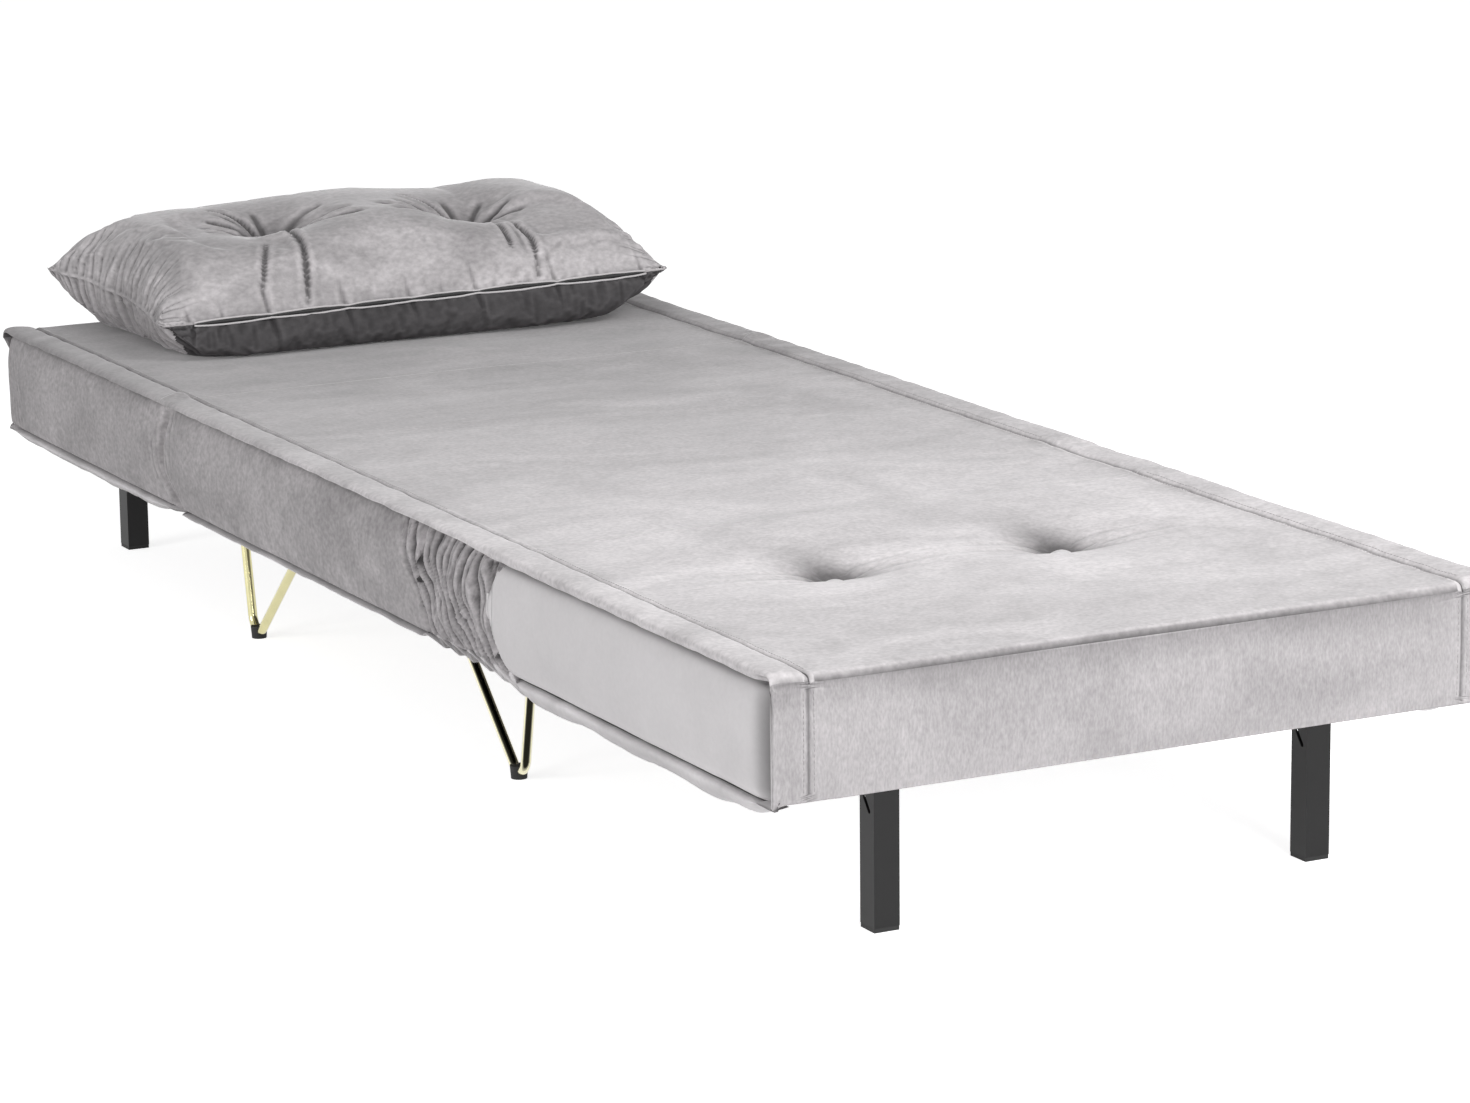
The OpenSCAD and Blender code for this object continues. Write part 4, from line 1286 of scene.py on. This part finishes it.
        # Share of the zip, size and reach of each tuck.
        tucks = (
            (0.0, 1.0, 14), (0.07, 0.5, 20), (0.17, 1.5, 34), (0.24, 0.4, 16), (0.335, 1.2, 26),
            (0.4, 0.4, 18), (0.478, 1.0, 22), (0.55, 0.4, 16), (0.623, 1.2, 28),
            (0.72, 0.4, 18), (0.8, 1.1, 24), (0.9, 0.5, 16), (1.0, 0.9, 18),
        )
        for at, size, reach in tucks:
            lean = (s - at) * self.zip_length + 0.15 * rise
            near = bell(lean, 3.6) * bell(rise, reach) * smooth((v - 0.62) / 0.3)
            depth += size * 3.4 * near
        depth += 1.3 * cloth_noise(place, (26.0, 60.0, 60.0), 22.0) * smooth((v - 0.5) / 0.4)
        depth += 2.2 * cloth_noise(place, (90.0, 90.0, 90.0), 23.0) * above
        press = (depth * (1 - at_rim) * (z > 2.5))[:, None] * MM
        move_points(obj, points_of(obj) - points_of(obj, "normal") * press)
        return lines

    def form(self) -> Object:
        """Closed form of the pillow before the cloth is relaxed.

        Returns:
            The cover, with the front of its underside in a near-black copy of the velvet, painted
            shade where it faces down.
        """
        u = np.sin(np.linspace(-np.pi / 2, np.pi / 2, self.columns))
        v = np.sin(np.linspace(-np.pi / 2, np.pi / 2, self.rows))
        uu, vv = np.meshgrid(u, v, indexing="ij")
        x, y = self.plan(uu, vv)
        full = self.fill(uu, vv)
        r = self.to_tuft(x, y)
        dip = (self.tuft_depth - 3) * np.exp(-np.maximum(r - 8, 0) / 26) + 7 * bell(r, 60)
        seam = self.seam(uu, vv)
        height = np.interp(uu, self.crest_stations, self.crest_heights)
        top = seam + (height * self.height / self.crest_scale - seam) * full - dip * full
        flat = dome(uu, np.where(uu > 0, 7.0, 4.0)) * dome(vv, 7)
        bottom = np.maximum(1.5, seam * (1 - 1.25 * flat) + 1.5)
        forward = 40 * np.clip(vv, 0, 1) ** 4 * np.clip(1 - bottom / seam, 0, 1)
        verts, numbers, faces, slots = [], {}, [], []
        for layer, z in ((0, bottom), (1, top)):
            for i in range(self.columns):
                for j in range(self.rows):
                    rim = i in (0, self.columns - 1) or j in (0, self.rows - 1)
                    if rim and layer == 1:
                        numbers[1, i, j] = numbers[0, i, j]
                        continue
                    numbers[layer, i, j] = len(verts)
                    ahead = 0 if layer or rim else forward[i, j]
                    verts.append((x[i, j], y[i, j] + ahead, seam[i, j] if rim else z[i, j]))
        for layer in (0, 1):
            for i in range(self.columns - 1):
                for j in range(self.rows - 1):
                    # The front of the underside takes the near-black velvet, painted shade where
                    # the cloth turns down.
                    at_front = (1 - v[j]) * self.depth < (1 - abs(u[i])) * self.length + 4
                    slots.append(int(layer == 0 and v[j] > 0 and at_front))
                    corners = ((i, j), (i + 1, j), (i + 1, j + 1), (i, j + 1))
                    quad = [numbers[layer, a, b] for a, b in corners]
                    faces.append(quad if layer else quad[::-1])
        materials = [self.finishes.pillow, self.finishes.pillow_underside_shade]
        points = np.array(verts) + np.array(self.centre)
        return mesh_object("pillow_cover_cloth", points, faces, materials, slots)

    def relax(self, obj: Object, cap: float) -> None:
        """Inflate the cover as cloth and keep the result.

        Args:
            obj: the closed form.
            cap: the furthest that a point may move, in millimetres.
        """
        rest = points_of(obj)
        x, y, z, rise = self.local(obj)
        held = np.nonzero((self.to_tuft(x, y) < 15) | (np.abs(rise) < 0.6) | (z < 3.0))[0]
        obj.vertex_groups.new(name="pinned").add(held.tolist(), 1.0, "REPLACE")
        settings = obj.modifiers.new("cloth", "CLOTH").settings
        settings.quality = 6
        settings.mass = 0.3
        settings.tension_stiffness = settings.compression_stiffness = 20
        settings.bending_stiffness = 0.2
        settings.use_pressure = True
        settings.uniform_pressure_force = 3.0
        settings.shrink_min = -0.05
        settings.vertex_group_mass = "pinned"
        settings.pin_stiffness = 1.0
        settings.effector_weights.gravity = 0.0
        for number in range(1, self.puff_frames + 1):
            bpy.context.scene.frame_set(number)
        graph = bpy.context.evaluated_depsgraph_get()
        move = points_of(obj.evaluated_get(graph)) - rest
        obj.modifiers.clear()
        obj.vertex_groups.clear()
        bpy.context.scene.frame_set(1)
        size = np.linalg.norm(move, axis=1)
        limit = cap * MM
        move *= (limit * np.tanh(size / limit) / np.maximum(size, 1e-9))[:, None]
        move_points(obj, rest + move)

    def hollows(self, obj: Object) -> Array:
        """How deep each point lies inside a tuft, from 0 to 1."""
        x, y, _, rise = self.local(obj)
        return bell(self.to_tuft(x, y + 8), 34) * (rise > 0)

    def tube(self, name: str, path: Array, radius: float, material: Material) -> Object:
        """Thin round edge along a path in millimetres.

        Args:
            name: name of the piece.
            path: points along its middle.
            radius: its radius.
            material: its finish.

        Returns:
            The piece.
        """
        sides = 8
        last = (len(path) - 1) * sides
        verts, faces = [], []
        for k, p in enumerate(path):
            tangent = Vector(path[min(k + 1, len(path) - 1)] - path[max(k - 1, 0)]).normalized()
            across = tangent.cross(Vector((0, 0, 1))).normalized()
            up = across.cross(tangent)
            for i in range(sides):
                a = 2 * math.pi * i / sides
                verts.append(Vector(p) + (across * math.cos(a) + up * math.sin(a)) * radius)
        for first in range(0, last, sides):
            faces += ring_faces(first, first + sides, sides)
        faces += [list(range(sides))[::-1], [last + i for i in range(sides)]]
        return mesh_object(name, verts, faces, [material])

    def edge_path(self, u0: float, u1: float, lift: Array | float, out: float) -> Array:
        """Path along the front edge with a lift at each point.

        Args:
            u0: first place along the length.
            u1: last place along the length.
            lift: height above the seam.
            out: distance in front of the seam.

        Returns:
            Points of the path in millimetres.
        """
        u = np.linspace(u0, u1, self.zip_points)
        x, y = self.plan(u, np.ones_like(u))
        z = self.seam(u, np.ones_like(u)) + lift
        return np.stack([x, y + out, z], -1) + np.array(self.centre)

    def build_zip(self) -> list[Object]:
        """Build the two lips of the zip opening and the dark tape between them.

        Returns:
            The upper lip, the lower lip and the tape.
        """
        s = np.linspace(0, 1, self.zip_points)
        gap = np.zeros(self.zip_points)
        for a, b in zip(self.zip_pinches[:-1], self.zip_pinches[1:]):
            inside = (s >= a) & (s <= b)
            gap[inside] = np.sin((s[inside] - a) / (b - a) * np.pi) ** 0.6
        gap = gap + 0.25 * line_noise(s * self.zip_length, 17.0, 25.0)
        u0, u1 = self.zip_start, self.zip_end
        upper = self.edge_path(u0, u1, 1.4 + 1.9 * gap, 2.4)
        lower = self.edge_path(u0, u1, -1.4 - 1.8 * gap, 4.2)
        tape = self.edge_path(u0 - 0.01, u1 + 0.01, 0.0, 0.8)
        return [
            self.tube("pillow_zip_upper_lip", upper, self.welt_r, self.finishes.lip),
            self.tube("pillow_zip_lower_lip", lower, self.welt_r, self.finishes.lip),
            self.tube("pillow_zip_tape", tape, self.tape_r, self.finishes.rubber),
        ]

    def build_buttons(self, surface: BVHTree) -> Object:
        """Build the two covered buttons that hold the tufts down.

        Args:
            surface: search tree over the cover.

        Returns:
            Both buttons as one piece.
        """
        sides, rows, radius, height = 24, 6, 9.0, 4.5
        verts, faces = [], []
        for share, shift in self.tufts:
            place = self.centre + Vector((share * self.length, shift, 0))
            origin = Vector((place.x, place.y, place.z + 300)) * MM
            place.z = surface.ray_cast(origin, DOWN)[0].z / MM - 1.0
            base = len(verts)
            for k in range(rows):
                a = k / rows * math.pi / 2
                for i in range(sides):
                    t = 2 * math.pi * i / sides
                    reach = radius * math.cos(a)
                    out = Vector((reach * math.cos(t), reach * math.sin(t), height * math.sin(a)))
                    verts.append(place + out)
            verts.append(place + Vector((0, 0, height)))
            last, tip = base + (rows - 1) * sides, base + rows * sides
            for first in range(base, last, sides):
                faces += ring_faces(first, first + sides, sides)
            faces += [[last + i, last + (i + 1) % sides, tip] for i in range(sides)]
            faces.append([base + i for i in range(sides)][::-1])
        obj = mesh_object("pillow_tuft_buttons", verts, faces, [self.finishes.pillow])
        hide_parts("pillow_buttons")
        return obj

    def build(self) -> list[Object]:
        """Build the whole pillow.

        Returns:
            All its pieces, which ride on the pillow.
        """
        cover = self.form()
        self.relax(cover, self.puff_limit)
        subdivide = cover.modifiers.new("subdivide", "SUBSURF")
        subdivide.levels = subdivide.render_levels = 1
        bpy.context.view_layer.objects.active = cover
        bpy.ops.object.modifier_apply(modifier="subdivide")
        lines = self.engrave(cover)
        # Painted shade in the tuft hollows and along the crease lines.
        dark = 0.75 * self.hollows(cover) + 0.17 * np.maximum(lines, 0)
        store_fold_shade(cover, fold_values(cover, 9.0, 1) - dark)
        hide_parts("pillow_cover")
        buttons = self.build_buttons(surface_of(cover))
        edge = self.edge_path(0.995, -0.995, 0.0, 0.0)
        welt = self.tube("pillow_front_seam", edge, self.welt_r, self.finishes.pillow)
        zip_parts = self.build_zip()
        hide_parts("pillow_zip")
        pieces = [cover, welt, buttons, *zip_parts]
        for piece in pieces:
            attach(piece, "pillow")
        return pieces


@dataclass
class Hardware:
    """Frames, hinges and legs that keep their CAD form."""

    finishes: Finishes

    def dress(self) -> int:
        """Give every CAD node that shows its finish.

        Returns:
            The number of nodes that got one.
        """
        f = self.finishes
        rules = [
            ("hairpin_feet", f.rubber), ("hairpin_screws", f.zinc), ("hairpin_rear", f.gold_dark),
            ("hairpin", f.gold), ("slats", f.timber), ("foot", f.rubber), ("pins", f.zinc),
            # The back's covered buttons take the pale velvet, a painted highlight for their bright
            # rim.
            ("lugs", f.black), ("leg", f.black), ("frame", f.black), ("buttons", f.pale),
            ("pillow_zip", f.rubber), ("plate", f.zinc), ("bolts", f.zinc), ("spring", f.zinc),
            ("pawl", f.zinc), ("ratchet", f.zinc), ("foam", f.pale), ("cover", f.side),
            ("gusset", f.gathered),
        ]
        for name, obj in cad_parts.items():
            obj.data.materials.clear()
            obj.data.materials.append(next(finish for word, finish in rules if word in name))
        return len(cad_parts)


@dataclass
class Studio:
    """Camera and lamps, placed in metres, and the white floor."""

    position: Triple = (2.28238, 4.58002, 1.29913)
    yaw: float = -0.478
    pitch: float = 0.223
    roll: float = -0.011
    focal_px: float = 5066.73
    image_width: int = 1470
    sensor: float = 36.0
    floor_mm: float = 7000.0

    def camera(self) -> None:
        """Place the camera where the photograph was taken."""
        level = math.cos(self.pitch)
        d = Vector((math.sin(self.yaw) * level, -math.cos(self.yaw) * level, -math.sin(self.pitch)))
        right = d.cross(Vector((0, 0, 1))).normalized()
        up = right.cross(d)
        across = right * math.cos(self.roll) + up * math.sin(self.roll)
        over = -right * math.sin(self.roll) + up * math.cos(self.roll)
        data = bpy.data.cameras.new("photograph")
        data.sensor_width = self.sensor
        data.lens = self.focal_px / self.image_width * self.sensor
        data.clip_end = 60.0
        obj = bpy.data.objects.new("photograph", data)
        bpy.context.collection.objects.link(obj)
        turn = Matrix((across, over, -d)).transposed()
        obj.matrix_world = Matrix.Translation(self.position) @ turn.to_4x4()
        bpy.context.scene.camera = obj

    def lamp(self, name: str, place: Triple, aim: Triple, size: float, watts: float) -> None:
        """Add one soft square lamp that looks at a point.

        Args:
            name: name of the lamp.
            place: its place in metres.
            aim: the point it looks at, in metres.
            size: length of its side in metres.
            watts: its power.
        """
        data = bpy.data.lights.new(name, "AREA")
        data.size = size
        data.energy = watts
        obj = bpy.data.objects.new(name, data)
        bpy.context.collection.objects.link(obj)
        turn = (Vector(aim) - Vector(place)).to_track_quat("-Z", "Y")
        obj.matrix_world = Matrix.Translation(place) @ turn.to_matrix().to_4x4()

    def world(self, level: float) -> None:
        """Soft white surroundings that show as white.

        Args:
            level: light that they give.
        """
        world = bpy.data.worlds.new("studio")
        bpy.context.scene.world = world
        sheet = NodeSheet(world, "OutputWorld")
        plain = sheet.node("Background", {"Color": WHITE, "Strength": level})
        bright = sheet.node("Background", {"Color": WHITE, "Strength": 1.0})
        sheet.white_when_seen(plain, bright)

    def floor(self, glow: float) -> None:
        """White floor that keeps the shadow of the bed.

        Args:
            glow: extra light that is seen on it and not given.
        """
        material = bpy.data.materials.new("white_floor")
        sheet = NodeSheet(material)
        plain = sheet.node("BsdfDiffuse", {"Color": (0.8, 0.8, 0.8, 1)})
        glowing = sheet.node("Emission", {"Strength": glow})
        both = sheet.node("AddShader", links={0: plain.outputs[0], 1: glowing.outputs[0]})
        sheet.white_when_seen(plain, both)
        reach = self.floor_mm
        corners = [(-reach, -reach, 0), (reach, -reach, 0), (reach, reach, 0), (-reach, reach, 0)]
        mesh_object("floor", corners, [[0, 1, 2, 3]], [material])

    def build(self) -> None:
        """Set up the camera, the lamps, the surroundings and the floor."""
        self.camera()
        self.lamp("front", (0.4, 5.6, 1.2), (0.0, 0.9, 0.2), 1.4, 125.0)
        self.lamp("overhead", (-0.7, 2.0, 2.4), (0.0, 0.6, 0.2), 1.2, 56.0)
        self.lamp("side_fill", (4.4, 0.2, 1.2), (0.0, 0.0, 0.2), 1.6, 66.0)
        self.world(0.26)
        self.floor(0.8)
        bpy.context.scene.view_settings.view_transform = "Standard"


@dataclass
class Upholstery:
    """The covers of the three sections and the gathered cloth at the recline joint."""

    finishes: Finishes
    half_w: float = 370.0
    thickness: float = 114.0
    cloth_drop: float = 2.6
    button_r: float = 11.0
    gap: float = 0.15
    fill: float = 0.9
    gathered_flat_m: tuple[float, float] = (1.78, 0.24)
    stitch_inset: float = 5.0
    stitch_margin_m: float = 0.014
    above_bed_m: float = 0.3
    off_end_m: float = 0.03
    end_stitches_m: tuple[float, float] = (0.156, 0.247)

    def shape(self) -> BedShape:
        """Take the cross section's driving sizes from the CAD covers.

        Returns:
            The shape that all the covers share.
        """
        seat_low, seat_high = (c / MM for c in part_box("seat_cover"))
        back_low, back_high = (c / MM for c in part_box("back_cover"))
        front_low, front_high = (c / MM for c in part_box("front_cover"))
        button_low, button_high = (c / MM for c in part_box("back_buttons"))
        top = seat_high.z
        return BedShape(
            half_w=self.half_w,
            under=top - self.thickness,
            top=top,
            front_end=front_low.y,
            back_end=back_high.y,
            flip_y=(front_high.y + seat_low.y) / 2,
            seat_end=seat_high.y,
            back_start=back_low.y,
            cloth=top - self.cloth_drop,
            tuft_x=button_high.x - self.button_r,
            tuft_y=(button_low.y + button_high.y) / 2,
        )

    def build(self) -> list[Object]:
        """Build the covers and let each ride on its section.

        Returns:
            All the covers and their stitches.
        """
        s, f = self.shape(), self.finishes
        flip, seat_end, back_start = s.flip_y, s.seat_end, s.back_start
        front = Cover("front_cover_cloth", s, s.front_end, flip - self.gap, f,
                      [(s.front_end, s.front_end + 50), (flip - 60, flip)], free=-1).build()
        seat = Cover("seat_cover_cloth", s, flip + self.gap, seat_end, f,
                     [(flip, flip + 60), (150, seat_end)]).build()
        middle = Cover("gathered_cloth", s, seat_end, back_start, f,
                       [(seat_end, back_start)], capped=False).build()
        fine = [(back_start, back_start + 50), (s.tuft_y - 60, s.tuft_y + 60),
                (s.back_end - 50, s.back_end)]
        back = Cover("back_cover_cloth", s, back_start, s.back_end, f, fine, free=1).build()
        pieces = [front, seat, middle, back]
        for obj, body, section in ((front, "front", "front"), (seat, "base", "seat"),
                                   (back, "back", "back")):
            pieces += self.sew(obj, body, s)
            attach(obj, body)
            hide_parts(section + "_cover", section + "_foam")
        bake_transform(middle)
        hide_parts("gusset_left", "gusset_right", "gusset_top")
        return pieces

    def sew(self, obj: Object, body: str, shape: BedShape) -> list[Object]:
        """Lay the stitches along the strips of one cover, and down its free end.

        Args:
            obj: the cover.
            body: the body that it rides on.
            shape: the shape that the covers share.

        Returns:
            The rows of stitches.
        """
        surface = surface_of(obj)
        y = points_of(obj)[:, 1]
        low, high = y.min(), y.max()
        end, out = (high, 1.0) if body == "back" else (low, -1.0)
        stitches = Stitches(self.finishes.thread)
        rows = []
        for side, word in ((1, "left"), (-1, "right")):
            for n, offset in enumerate((-self.stitch_inset, self.stitch_inset)):
                x = side * (shape.half_w - (shape.flange_w + offset)) * MM
                label = f"{obj.name}_stitches_{word}_{n + 1}"
                ends = low + self.stitch_margin_m, high - self.stitch_margin_m
                start, stop = (Vector((x, y, self.above_bed_m)) for y in ends)
                rows.append(stitches.row(label, start, stop, DOWN, surface))
                if body == "base":
                    continue
                off_end = end + out * self.off_end_m
                start, stop = (Vector((x, off_end, z)) for z in self.end_stitches_m)
                inward = Vector((0, -out, 0))
                rows.append(stitches.row(label + "_end", start, stop, inward, surface))
        for row in rows:
            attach(row, body)
        return rows


def main() -> None:
    """Build the sofa bed's visible pieces in order."""
    Studio().build()
    finishes = Finishes()
    log.info("dressed %d CAD nodes", Hardware(finishes).dress())
    for piece in Upholstery(finishes).build():
        log.info("built %s", piece.name)
    low, high = (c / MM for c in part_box("pillow_cover"))
    centre = Vector(((low.x + high.x) / 2, (low.y + high.y) / 2, low.z))
    pillow = Pillow(finishes, high.x - low.x, high.y - low.y, high.z - low.z, centre)
    for piece in pillow.build():
        log.info("built %s", piece.name)
    bpy.context.view_layer.update()


if __name__ == "__main__":
    main()
